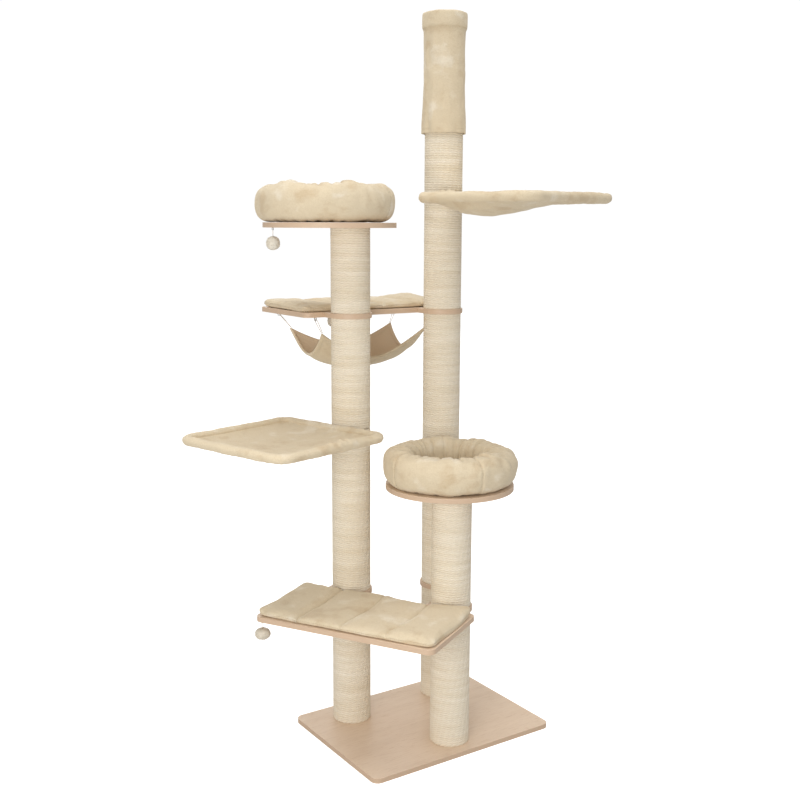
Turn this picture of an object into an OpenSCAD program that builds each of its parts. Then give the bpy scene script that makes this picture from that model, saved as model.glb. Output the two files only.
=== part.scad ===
// Ceiling-high cat tree: three rope-wound posts on one base, boards, beds, slings and a hammock.
// Millimetres, +Z up, origin at the centre of the base plate's underside.

/* [Base] */
// Width of the base plate, along X
base_w = 710; // [640:5:900]
// Depth of the base plate, along Y
base_d = 520; // [480:5:700]
// Radius of the base plate's corners
base_corner_r = 26; // [10:1:60]
// Thickness of the base plate and of every board
board_t = 16; // [12:1:22]

/* [Posts] */
// Diameter of a post over its rope
post_d = 130; // [110:1:150]
// Distance between the axes of any two posts
post_pitch = 370; // [360:1:440]
// Diameter of the sisal rope
rope_d = 8; // [6:1:10]
// Wall of the cardboard core tubes
core_wall = 4; // [3:0.5:6]
// Thickness of the wooden plugs that close the core tubes
plug_t = 18; // [12:1:30]
// Diameter of the threaded studs that join the sections
stud_d = 10; // [8:1:12]
// Length of stud beyond each face that it joins
stud_reach = 32; // [25:1:60]
// Width of the board ring that shows round a post
lobe_lip = 5; // [2:1:15]

/* [Levels] */
// Underside of the spacer disc on the rear post
spacer_z = 425; // [300:1:450]
// Underside of the lower shelf
lower_shelf_z = 468; // [420:1:560]
// Underside of the round board on the front post
front_round_z = 856; // [800:1:870]
// Joint between two sections of the rear post
rear_joint_z = 924; // [700:1:1100]
// Middle of the left sling's rim
left_sling_z = 1049; // [1045:1:1100]
// Underside of the middle shelf
middle_shelf_z = 1406; // [1360:1:1500]
// Underside of the round board on the left post
top_round_z = 1697; // [1620:1:1750]
// Middle of the right sling's rim
right_sling_z = 1793; // [1700:1:1850]
// Top end of the rear post
post_top_z = 2135; // [2060:1:2200]
// Height of the ceiling that the tensioner reaches
ceiling_z = 2400; // [2340:1:2480]

/* [Shelves] */
// Width of a shelf, along the line between its two posts
shelf_w = 621; // [560:1:680]
// Depth of a shelf, away from its posts
shelf_d = 335; // [280:1:420]
// Distance from the posts' line to the shelf's straight edge
shelf_setback = 50; // [40:1:60]
// How far a shelf's middle lies past the middle of its posts
shelf_shift = 14; // [0:1:30]
// Radius of a shelf's corners
shelf_corner_r = 25; // [10:1:50]
// Diameter of the round boards
round_d = 420; // [380:1:425]
// Distance from the left post to its round board's centre
left_round_offset = 115; // [60:1:125]
// Direction in which the left round board stands out, degrees from +X
left_round_angle = 205; // [180:1:230]
// Gap between the front bed and the rear post
bed_post_gap = 8; // [2:1:40]

/* [Soft goods] */
// Thickness of the quilted shelf pads
pad_t = 26; // [15:1:40]
// How far a pad stops short of the shelf's edge
pad_inset = 6; // [0:1:30]
// Outer diameter of the round beds
bed_d = 442; // [400:1:446]
// Height of a bed's padded ring
bed_h = 125; // [90:1:140]
// Thickness of a bed's padded ring, seen from above
bed_ring_w = 104; // [80:1:120]
// Thickness of a bed's loose cushion
bed_cushion_t = 38; // [20:1:60]
// Gap between fabric and what it lies on or beside
fabric_gap = 0.5; // [0.3:0.1:2]

/* [Slings] */
// Side of a sling over its plush cover
sling_w = 478; // [420:1:500]
// Thickness of a sling's padded rim
sling_rim_t = 36; // [30:1:46]
// Radius of a sling's corners, over the plush
sling_corner_r = 60; // [45:1:90]
// Diameter of a sling's steel tube
sling_tube_d = 14; // [10:1:18]
// Depth of the left sling's hollow below its rim, which is drawn tighter
left_sling_sag = 52; // [40:1:100]
// Depth of the right sling's hollow below its rim
right_sling_sag = 80; // [40:1:100]
// Thickness of a sling's fabric
sling_fabric_t = 8; // [5:1:12]
// Gap between a sling and its post
sling_gap = 4; // [3:0.5:15]
// Direction of the left sling, degrees from +X
left_sling_angle = 196; // [180:1:205]
// Direction of the right sling, degrees from +X
right_sling_angle = 283; // [270:1:300]
// Thickness of a sling's steel bracket
bracket_t = 4; // [3:0.5:6]
// Width of a sling's bracket where it leaves the post
bracket_w = 60; // [40:1:80]

/* [Hammock] */
// Distance between the hammock's hooks, along the middle shelf
hook_span_x = 490; // [440:1:520]
// Distance between the hammock's hooks, across the middle shelf
hook_span_y = 261; // [230:1:270]
// Length of the hammock, corner to corner
hammock_w = 428; // [380:1:440]
// Width of the hammock, corner to corner
hammock_d = 230; // [200:1:240]
// Depth of the hammock's hollow
hammock_sag = 125; // [90:1:150]
// Drop from the shelf to the hammock's corners
hammock_drop = 60; // [50:1:80]
// How far the hammock's middle lies past the shelf's, away from the posts
hammock_shift = 17; // [0:1:25]
// Thickness of the hammock's fabric
hammock_t = 5; // [4:0.5:8]
// Diameter of the hammock's loop cord
loop_d = 2; // [1.5:0.5:3]

/* [Toys] */
// Diameter of the round toys
toy_d = 42; // [30:1:50]
// Diameter of the flattened toy
flat_toy_d = 50; // [40:1:56]
// Height of the flattened toy
flat_toy_h = 36; // [28:1:40]
// Distance from a board to the middle of a round toy under it
round_toy_hang = 47; // [40:1:90]
// Distance from a board to the middle of the flattened toy under it
flat_toy_hang = 42; // [40:1:90]
// Diameter of a toy's string
toy_string_d = 1.6; // [1:0.2:2.4]

/* [Ceiling tensioner] */
// Diameter of the tensioner's spindle
spindle_d = 20; // [16:1:24]
// Diameter of the ceiling plate
ceiling_plate_d = 142; // [120:1:146]
// Thickness of the ceiling plate
ceiling_plate_t = 18; // [12:1:30]
// Thickness of the foam disc on the ceiling plate
foam_t = 22; // [10:1:30]
// Height of the sleeve's hem
hem_z = 2010; // [1960:1:2040]
// Thickness of the sleeve's fabric
sleeve_t = 3; // [2:0.5:5]

/* [Hidden] */
$fn = 96;
fit = 0.1;                                  // radial play of a turning fit
seat = 0.2;                                 // gap where a piece is dropped in
post_r = post_d/2;
core_r = post_r - rope_d;
bore_r = stud_d/2 + fit;
lobe_r = post_r + lobe_lip;
post_row_y = post_pitch*sqrt(3)/4;          // the posts stand in an equilateral triangle
left_post = [-post_pitch/2, post_row_y];
rear_post = [post_pitch/2, post_row_y];
front_post = [0, -post_row_y];
lower_shelf_place = [(left_post.x + front_post.x)/2, (left_post.y + front_post.y)/2];
lower_shelf_turn = 120;
middle_shelf_place = [0, post_row_y];
rear_direction = 60;                        // from the front post to the rear post
left_round = left_post + left_round_offset*[cos(left_round_angle), sin(left_round_angle)];
front_round_offset = post_pitch - post_r - max(bed_d, round_d)/2 - bed_post_gap;
front_round = front_post + front_round_offset*[cos(rear_direction), sin(rear_direction)];

bracket_drop = sling_tube_d/2 + bracket_t;  // from the tube's centre to the bracket's underside
left_bracket_z = left_sling_z - bracket_drop;
right_bracket_z = right_sling_z - bracket_drop;
glide = 0.15;                               // play above and below a turning bracket

// The sections of each post, as [lower end, upper end]
left_sections = [
    [board_t, lower_shelf_z],
    [lower_shelf_z + board_t, left_bracket_z - glide],
    [left_bracket_z + bracket_t + glide, middle_shelf_z],
    [middle_shelf_z + board_t, top_round_z]];
front_sections = [
    [board_t, lower_shelf_z],
    [lower_shelf_z + board_t, front_round_z]];
rear_sections = [
    [board_t, spacer_z],
    [spacer_z + board_t, rear_joint_z],
    [rear_joint_z, middle_shelf_z],
    [middle_shelf_z + board_t, right_bracket_z - glide],
    [right_bracket_z + bracket_t + glide, post_top_z]];

// Where hooks and eyes hold the hammock and the toys
hook_x = [-shelf_shift - hook_span_x/2, -shelf_shift + hook_span_x/2];
hook_mid_y = post_row_y + shelf_setback + shelf_d/2 + hammock_shift;
hook_y = [hook_mid_y - hook_span_y/2, hook_mid_y + hook_span_y/2];
// A screw eye, as [drop from the board to the ring, radius of the ring, radius of the wire]
hammock_eye = [4, 6, 1.5];
toy_eye = [1, 3, 1];
eye_stem = 12;
function eye_low(eye) = eye[0] + 2*eye[1] + eye[2];  // from the board to the ring's lowest point
hammock_mid = [-shelf_shift, hook_mid_y];
hammock_corner_z = middle_shelf_z - hammock_drop;
hammock_half_diagonal = norm([hammock_w, hammock_d])/2;
hammock_r = (hammock_half_diagonal*hammock_half_diagonal + hammock_sag*hammock_sag)/(2*hammock_sag);
toy_eye_inset = 12;                         // from a round board's edge
corner_toy_inset = [22, 15];                // from the lower shelf's two edges
edge_toy_inset = 20;                        // from the middle shelf's edge
top_toy_angle = 179;
middle_toy_x = -40;
shelf_toy_x = shelf_w/2 + shelf_shift - corner_toy_inset.x;
shelf_toy_y = shelf_setback + shelf_d - corner_toy_inset.y;
top_toy_place = left_round + (round_d/2 - toy_eye_inset)*[cos(top_toy_angle), sin(top_toy_angle)];
lower_toy_place = lower_shelf_place
    + [cos(lower_shelf_turn)*shelf_toy_x - sin(lower_shelf_turn)*shelf_toy_y,
       sin(lower_shelf_turn)*shelf_toy_x + cos(lower_shelf_turn)*shelf_toy_y];
middle_toy_place = [middle_toy_x, post_row_y + shelf_setback + shelf_d - edge_toy_inset];
// Each toy, as [place, underside of its board, distance from there to its middle]
toys = [
    [top_toy_place, top_round_z, round_toy_hang],
    [lower_toy_place, lower_shelf_z, flat_toy_hang],
    [middle_toy_place, middle_shelf_z, round_toy_hang]];

// A bed's ring: round on top, and drawn in below to stand inside the board's edge
bed_top_r = bed_ring_w/2;
bed_foot_r = bed_h - 2*bed_top_r + 12;
bed_mid_r = bed_d/2 - bed_top_r;
bed_bore_r = min(bed_mid_r - bed_top_r, bed_mid_r - bed_top_r/2 - bed_foot_r);
top_bed_shift = [-12, 8];                   // the loose top bed lies a little off its board's middle

// Half of a hammock loop: sideways in loop cord diameters, and along in parts of its reach
loop_route = [[1.1, 0], [1.5, 0.2], [1.9, 0.45], [2.2, 0.7], [2.25, 0.9], [2.25, 1]];
loop_bend = 2.25*loop_d;                    // the loop's bend round its hook
sling_dish_r = sling_w/2 - sling_rim_t;
function dish_r(sag) = (sling_dish_r*sling_dish_r + sag*sag)/(2*sag);  // radius of a hollow of that depth
sling_mid_x = post_r + sling_gap + sling_w/2;
sling_tube_half = sling_w/2 - sling_rim_t/2;
sling_tube_corner_r = sling_corner_r - sling_rim_t/2;

cap_h = 54;
body_r = post_r + sleeve_t + 1.5;
cap_r = max(ceiling_plate_d/2, body_r) + 5;
hem_r = body_r + 2.5;
flare_z = post_top_z - 25;
plate_z = ceiling_z - sleeve_t - foam_t - ceiling_plate_t;
spindle_low = post_top_z - 150;
nut_t = 14;

wood = "burlywood";
rope = "antiquewhite";
plush = "tan";
steel = "silver";
card = "peru";

// ---------- shared shapes ----------

module rounded_rect(w, d, r) {
    square([w - 2*r, d], center = true);
    square([w, d - 2*r], center = true);
    for (x = [-1, 1], y = [-1, 1]) translate([x*(w/2 - r), y*(d/2 - r)]) circle(r);
}

module at_post(place, z = 0) { translate([place.x, place.y, z]) children(); }

module ring_2d(outer, inner) { difference() { circle(outer); circle(inner); } }

// A straight-sided tube ring with quarter-round corners, its centre line in the XY plane
module tube_ring(half, corner_r, r) {
    run = 2*(half - corner_r);
    for (turn = [0, 90, 180, 270]) rotate([0, 0, turn]) {
        translate([half, -run/2, 0]) rotate([-90, 0, 0]) cylinder(h = run, r = r);
        translate([half - corner_r, half - corner_r, 0])
            rotate_extrude(angle = 90) translate([corner_r, 0]) circle(r);
    }
}

// A screw eye below a board whose underside is at z = 0, its ring in the XZ plane
module screw_eye(eye) {
    translate([0, 0, -eye[0]]) cylinder(h = eye[0] + eye_stem, r = eye[2]);
    translate([0, 0, -eye[0] - eye[1]]) rotate([90, 0, 0])
        rotate_extrude() translate([eye[1], 0]) circle(eye[2], $fn = 24);
}

module eye_hole(eye) { cylinder(h = eye_stem + seat, r = eye[2] + fit); }

// Bolt head let into a board's face, pointing up into the post
module let_in_bolt(reach) {
    cylinder(h = 5, r = 9.5);
    cylinder(h = 5 + reach, r = stud_d/2);
}

function cord_ring(p, along, normal, r) =
    let (across = cross(normal, along))
    [for (a = [0:45:315]) p + r*(cos(a)*normal + sin(a)*across)];

// A round cord swept along points that lie in the plane with the given normal
module planar_cord(points, normal, r) {
    last = len(points) - 1;
    rings = [for (i = [0:last])
        let (ahead = points[min(i + 1, last)], behind = points[max(i - 1, 0)],
             along = (ahead - behind)/norm(ahead - behind))
        each cord_ring(points[i], along, normal, r)];
    sides = [for (i = [0:last - 1], j = [0:7])
        [8*i + j, 8*i + (j + 1)%8, 8*(i + 1) + (j + 1)%8, 8*(i + 1) + j]];
    polyhedron(rings, concat([[for (j = [7:-1:0]) j]], sides, [[for (j = [0:7]) 8*last + j]]));
}

// ---------- base and posts ----------

module base_plate() {
    color(wood) difference() {
        linear_extrude(board_t) rounded_rect(base_w, base_d, base_corner_r);
        for (place = [left_post, rear_post, front_post]) at_post(place, -1) {
            cylinder(h = board_t + 2, r = bore_r);
            cylinder(h = 1 + 5.5, r = 10.5);
        }
    }
}

module base_bolts() {
    color(steel) for (place = [left_post, rear_post, front_post]) at_post(place, 0.5)
        let_in_bolt(board_t - 5.5 + stud_reach);
}

module cores(place, sections) {
    color(card) for (s = sections) at_post(place, s[0])
        linear_extrude(s[1] - s[0]) ring_2d(core_r, core_r - core_wall);
}

module rope_winding(place, section) {
    color(rope) at_post(place, section[0])
        linear_extrude(section[1] - section[0]) ring_2d(post_r, core_r);
}

module plugs(place, sections, top_bore_r) {
    last = len(sections) - 1;
    color(wood) for (i = [0:last], upper = [0, 1])
        at_post(place, upper ? sections[i][1] - plug_t : sections[i][0])
            linear_extrude(plug_t)
                ring_2d(core_r - core_wall - seat, (i == last && upper) ? top_bore_r : bore_r);
}

// Studs across the joints between neighbouring sections
module studs(place, sections) {
    color(steel) for (i = [1:len(sections) - 1]) {
        low = sections[i - 1][1] - stud_reach;
        at_post(place, low) cylinder(h = sections[i][0] + stud_reach - low, r = stud_d/2);
    }
}

// ---------- boards ----------

// A shelf's outline: its two posts on the X axis, the board towards +Y
module shelf_outline(shift) {
    translate([shift, shelf_setback + shelf_d/2]) rounded_rect(shelf_w, shelf_d, shelf_corner_r);
    for (side = [-1, 1]) translate([side*post_pitch/2, 0]) {
        circle(lobe_r);
        translate([-lobe_r, 0]) square([2*lobe_r, shelf_setback + shelf_corner_r]);
    }
}

module shelf(shift) {
    difference() {
        linear_extrude(board_t) shelf_outline(shift);
        for (side = [-1, 1]) translate([side*post_pitch/2, 0, -1]) cylinder(h = board_t + 2, r = bore_r);
    }
}

module lower_shelf() {
    color(wood) difference() {
        at_post(lower_shelf_place, lower_shelf_z) rotate([0, 0, lower_shelf_turn]) shelf(shelf_shift);
        at_post(lower_toy_place, lower_shelf_z) eye_hole(toy_eye);
    }
}

module middle_shelf() {
    color(wood) difference() {
        at_post(middle_shelf_place, middle_shelf_z) shelf(-shelf_shift);
        for (x = hook_x, y = hook_y) translate([x, y, middle_shelf_z]) eye_hole(hammock_eye);
        at_post(middle_toy_place, middle_shelf_z) eye_hole(toy_eye);
    }
}

module round_board(centre, post, z) {
    difference() {
        at_post(centre, z) cylinder(h = board_t, r = round_d/2, $fn = 180);
        at_post(post, z - 1) cylinder(h = board_t + 2, r = bore_r);
        at_post(post, z + board_t - 5.5) cylinder(h = 6, r = 10.5);
    }
}

module top_round_board() {
    color(wood) difference() {
        round_board(left_round, left_post, top_round_z);
        at_post(top_toy_place, top_round_z) eye_hole(toy_eye);
    }
}

module front_round_board() { color(wood) round_board(front_round, front_post, front_round_z); }

module round_board_bolts() {
    color(steel) for (b = [[left_post, top_round_z], [front_post, front_round_z]])
        at_post(b[0], b[1] + board_t - 0.5) mirror([0, 0, 1]) let_in_bolt(board_t - 5.5 + stud_reach);
}

module spacer_disc() {
    color(wood) at_post(rear_post, spacer_z) linear_extrude(board_t) ring_2d(lobe_r, bore_r);
}

// ---------- pads and beds ----------

module shelf_pad(shift) {
    front = post_r + 4;
    depth = shelf_setback + shelf_d - pad_inset - front;
    translate([shift, front + depth/2, board_t + fabric_gap])
        linear_extrude(pad_t) rounded_rect(shelf_w - 2*pad_inset, depth, shelf_corner_r);
}

module lower_pad() {
    color(plush) at_post(lower_shelf_place, lower_shelf_z)
        rotate([0, 0, lower_shelf_turn]) shelf_pad(shelf_shift);
}

module middle_pad() { color(plush) at_post(middle_shelf_place, middle_shelf_z) shelf_pad(-shelf_shift); }

module bed_ring(centre, z) {
    color(plush) at_post(centre, z + board_t + fabric_gap) rotate_extrude($fn = 180) {
        translate([bed_mid_r, bed_h - bed_top_r]) circle(bed_top_r);
        translate([bed_mid_r - bed_top_r/2, 0]) square([bed_top_r*0.75, bed_h - bed_top_r]);
        translate([bed_mid_r + bed_top_r/4, bed_foot_r]) circle(bed_foot_r);
        translate([bed_mid_r - bed_top_r/2, bed_foot_r]) circle(bed_foot_r);
    }
}

module bed_cushion(centre, z) {
    edge_r = bed_cushion_t/2;
    flat_r = bed_bore_r - fabric_gap - edge_r;
    color(plush) at_post(centre, z + board_t + fabric_gap) rotate_extrude($fn = 120) {
        square([flat_r, bed_cushion_t]);
        translate([flat_r, edge_r]) circle(edge_r);
    }
}

// ---------- slings ----------

// Each sling is drawn with its post on the Z axis, outwards along +X, its tube at z = 0
module place_sling(post, z, angle) { at_post(post, z) rotate([0, 0, angle]) children(); }

module sling_bracket() {
    arm = sling_mid_x - sling_tube_half + sling_tube_d;
    color(steel) translate([0, 0, -bracket_drop]) linear_extrude(bracket_t) difference() {
        union() {
            circle(core_r);
            translate([0, -bracket_w/2]) square([arm, bracket_w]);
        }
        circle(bore_r);
    }
}

module sling_tube(grow = 0) {
    translate([sling_mid_x, 0, 0]) tube_ring(sling_tube_half, sling_tube_corner_r, sling_tube_d/2 + grow);
}

module sling_frame() { color(steel) sling_tube(); }

module sling_cover(sag) {
    ball_z = sling_rim_t/2 - sag + dish_r(sag);
    slot_x = sling_mid_x - sling_tube_half + sling_tube_d + fabric_gap;
    color(plush) difference() {
        translate([sling_mid_x, 0, 0]) union() {
            translate([0, 0, -sling_rim_t/2]) linear_extrude(sling_rim_t)
                rounded_rect(sling_w, sling_w, sling_corner_r);
            intersection() {
                translate([0, 0, ball_z]) sphere(dish_r(sag) + sling_fabric_t, $fn = 120);
                translate([0, 0, -sag]) cylinder(h = sag, r = sling_dish_r);
            }
        }
        translate([sling_mid_x, 0, ball_z]) sphere(dish_r(sag), $fn = 120);
        sling_tube(fabric_gap);
        translate([0, -bracket_w/2 - fabric_gap, -bracket_drop - fabric_gap])
            cube([slot_x, bracket_w + 2*fabric_gap, bracket_t + sling_tube_d/2 + fabric_gap]);
    }
}

// ---------- hammock ----------

module hammock_hooks() {
    color(steel) for (x = [0, 1], y = [0, 1]) translate([hook_x[x], hook_y[y], middle_shelf_z])
        rotate([0, 0, hook_turn(x, y)]) screw_eye(hammock_eye);
}

function hammock_corner(x, y) = [
    hammock_mid.x + (2*x - 1)*(hammock_w/2 - 6),
    hammock_mid.y + (2*y - 1)*(hammock_d/2 - 6),
    hammock_corner_z];
function hook_ring(x, y) = [hook_x[x], hook_y[y], middle_shelf_z - hammock_eye[0] - hammock_eye[1]];
function hook_turn(x, y) =
    let (v = hammock_corner(x, y) - hook_ring(x, y)) atan2(v.y, v.x);

module hammock_cloth() {
    ball_z = hammock_corner_z - hammock_sag + hammock_r;
    color(plush) translate([hammock_mid.x, hammock_mid.y, 0]) intersection() {
        difference() {
            translate([0, 0, ball_z]) sphere(hammock_r + hammock_t, $fn = 120);
            translate([0, 0, ball_z]) sphere(hammock_r, $fn = 120);
        }
        translate([0, 0, hammock_corner_z - hammock_sag - 2*hammock_t])
            linear_extrude(hammock_sag + 2*hammock_t) rounded_rect(hammock_w, hammock_d, 12);
    }
}

// A doubled cord from a hammock corner up round the near side of its hook's ring
module hammock_loop(x, y) {
    corner = hammock_corner(x, y);
    pull = hook_ring(x, y) - corner;
    up = pull/norm(pull);
    reach = norm(pull) - hammock_eye[1];
    level = norm([up.x, up.y]);
    side = [-up.y, up.x, 0]/level;
    bend = [for (a = [30:30:150]) [loop_bend*cos(a), reach + loop_bend*sin(a)]];
    half = [for (p = loop_route) [p[0]*loop_d, p[1]*reach]];
    back = [for (i = [len(half) - 1:-1:0]) [-half[i][0], half[i][1]]];
    route = [for (p = concat(half, bend, back)) corner + p[0]*side + p[1]*up];
    color(rope) planar_cord(route, cross(up, side), loop_d/2);
}

// ---------- toys ----------

module toy_eyes() { color(steel) for (t = toys) at_post(t[0], t[1]) screw_eye(toy_eye); }

function toy_middle(t) = [t[0].x, t[0].y, t[1] - t[2]];

// A straight string from just below the eye to the middle of the toy
module toy_string(t) {
    top = t[1] - eye_low(toy_eye) - fabric_gap;
    run = top - toy_middle(t).z;
    route = [for (i = [0:6]) [t[0].x, t[0].y, top - i*run/6]];
    color(rope) planar_cord(route, [1, 0, 0], toy_string_d/2);
}

module round_toy(t) { color(plush) translate(toy_middle(t)) sphere(toy_d/2); }

module flat_toy(t) {
    edge_r = flat_toy_h/2;
    flat_r = flat_toy_d/2 - edge_r;
    color(plush) translate(toy_middle(t) - [0, 0, edge_r]) rotate_extrude() {
        square([flat_r, flat_toy_h]);
        intersection() {
            translate([flat_r, edge_r]) circle(edge_r);
            square([flat_toy_d, flat_toy_h]);
        }
    }
}

// ---------- ceiling tensioner ----------

module tension_spindle() {
    color(steel) at_post(rear_post, spindle_low) cylinder(h = plate_z - spindle_low, r = spindle_d/2);
}

module tension_lock_nut() {
    color(steel) at_post(rear_post, post_top_z + 12)
        linear_extrude(nut_t) difference() {
            circle(r = 18, $fn = 6);
            circle(spindle_d/2 + fit);
        }
}

module tension_insert() {
    color(steel) at_post(rear_post, post_top_z - plug_t) difference() {
        union() {
            cylinder(h = plug_t, r = spindle_d/2 + 6);
            translate([0, 0, plug_t]) cylinder(h = 3, r = spindle_d/2 + 22);
        }
        translate([0, 0, -1]) cylinder(h = plug_t + 5, r = spindle_d/2 + fit);
    }
}

module ceiling_plate() {
    color(wood) at_post(rear_post, plate_z) cylinder(h = ceiling_plate_t, r = ceiling_plate_d/2);
}

module ceiling_foam() {
    color("dimgray") at_post(rear_post, plate_z + ceiling_plate_t)
        cylinder(h = foam_t, r = ceiling_plate_d/2);
}

module tension_sleeve() {
    cap_low = ceiling_z - cap_h;
    color(plush) at_post(rear_post) rotate_extrude($fn = 120) difference() {
        union() {
            translate([0, hem_z]) square([hem_r, flare_z - hem_z]);
            translate([0, hem_z]) square([body_r, cap_low - hem_z + 1]);
            translate([0, cap_low]) square([cap_r, cap_h]);
        }
        translate([-1, hem_z - 1]) square([body_r - sleeve_t + 1, plate_z - seat - hem_z + 1]);
        translate([-1, cap_low + sleeve_t]) square([ceiling_plate_d/2 + seat + 1, cap_h - 2*sleeve_t]);
    }
}

// ---------- the tree ----------

base_plate();
base_bolts();
cores(left_post, left_sections);  // left_cores
cores(front_post, front_sections);  // front_cores
cores(rear_post, rear_sections);  // rear_cores
for (i = [0:3]) rope_winding(left_post, left_sections[i]);
for (i = [0:1]) rope_winding(front_post, front_sections[i]);
for (i = [0:4]) rope_winding(rear_post, rear_sections[i]);
plugs(left_post, left_sections, bore_r);  // left_plugs
plugs(front_post, front_sections, bore_r);  // front_plugs
plugs(rear_post, rear_sections, spindle_d/2 + 6 + fit);  // rear_plugs
studs(left_post, left_sections);  // left_studs
studs(front_post, front_sections);  // front_studs
studs(rear_post, rear_sections);  // rear_studs
spacer_disc();
lower_shelf();
middle_shelf();
top_round_board();
front_round_board();
round_board_bolts();
lower_pad();
middle_pad();
bed_ring(left_round + top_bed_shift, top_round_z);  // top_bed_ring
bed_cushion(left_round + top_bed_shift, top_round_z);  // top_bed_cushion
bed_ring(front_round, front_round_z);  // front_bed_ring
bed_cushion(front_round, front_round_z);  // front_bed_cushion
place_sling(left_post, left_sling_z, left_sling_angle) sling_bracket();  // left_sling_bracket
place_sling(left_post, left_sling_z, left_sling_angle) sling_frame();  // left_sling_frame
place_sling(left_post, left_sling_z, left_sling_angle) sling_cover(left_sling_sag);  // left_sling_cover
place_sling(rear_post, right_sling_z, right_sling_angle) sling_bracket();  // right_sling_bracket
place_sling(rear_post, right_sling_z, right_sling_angle) sling_frame();  // right_sling_frame
place_sling(rear_post, right_sling_z, right_sling_angle) sling_cover(right_sling_sag);  // right_sling_cover
hammock_cloth();
hammock_loop(0, 0);  // hammock_loop_1
hammock_loop(1, 0);  // hammock_loop_2
hammock_loop(1, 1);  // hammock_loop_3
hammock_loop(0, 1);  // hammock_loop_4
hammock_hooks();
toy_eyes();
round_toy(toys[0]);  // top_toy
flat_toy(toys[1]);  // lower_toy
round_toy(toys[2]);  // middle_toy
toy_string(toys[0]);  // top_toy_string
toy_string(toys[1]);  // lower_toy_string
toy_string(toys[2]);  // middle_toy_string
tension_spindle();
tension_lock_nut();
tension_insert();
ceiling_plate();
ceiling_foam();
tension_sleeve();
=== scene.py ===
"""Ceiling-high cat tree: the looks of its rope, boards, plush beds, slings, hammock and toys.

Each part of the tree is a class that holds its sizes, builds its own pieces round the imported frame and
dresses them. Everything is in metres and in the frame's own axes.
"""

import logging
import math
from dataclasses import dataclass
from enum import Enum
from typing import Iterable, Optional, Sequence

import bmesh
import bpy
import numpy as np
from mathutils import Matrix, Vector
from mathutils.bvhtree import BVHTree


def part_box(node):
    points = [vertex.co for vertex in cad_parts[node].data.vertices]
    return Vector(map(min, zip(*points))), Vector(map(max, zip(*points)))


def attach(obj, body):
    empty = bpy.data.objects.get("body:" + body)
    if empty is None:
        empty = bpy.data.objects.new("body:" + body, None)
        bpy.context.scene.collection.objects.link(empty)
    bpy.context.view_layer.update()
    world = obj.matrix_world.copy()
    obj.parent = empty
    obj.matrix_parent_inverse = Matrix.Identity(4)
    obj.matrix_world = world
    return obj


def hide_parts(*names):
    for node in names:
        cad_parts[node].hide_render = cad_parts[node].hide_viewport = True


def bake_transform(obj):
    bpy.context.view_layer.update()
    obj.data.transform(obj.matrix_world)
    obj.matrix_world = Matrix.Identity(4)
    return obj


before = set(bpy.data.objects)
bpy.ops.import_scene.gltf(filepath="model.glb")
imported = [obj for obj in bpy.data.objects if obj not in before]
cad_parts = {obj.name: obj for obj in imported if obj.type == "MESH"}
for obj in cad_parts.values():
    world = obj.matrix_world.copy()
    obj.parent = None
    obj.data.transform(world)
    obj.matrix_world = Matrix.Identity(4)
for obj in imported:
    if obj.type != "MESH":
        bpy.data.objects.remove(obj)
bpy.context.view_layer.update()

MM = 0.001
TURN = 2 * math.pi
LOG = logging.getLogger("cat_tree")

Colour = tuple[float, float, float, float]
Socket = bpy.types.NodeSocket


# ---------------------------------------------------------------- node trees


def paint(red: int, green: int, blue: int) -> Colour:
    """Turns a screen colour into the linear one that a shader takes.

    Args:
        red, green, blue: the screen colour, each from 0 to 255.

    Returns:
        The linear colour with full alpha.
    """
    def linear(value: int) -> float:
        """One channel, without its screen curve."""
        share = value / 255
        return share / 12.92 if share <= 0.04045 else ((share + 0.055) / 1.055) ** 2.4

    return linear(red), linear(green), linear(blue), 1.0


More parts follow.
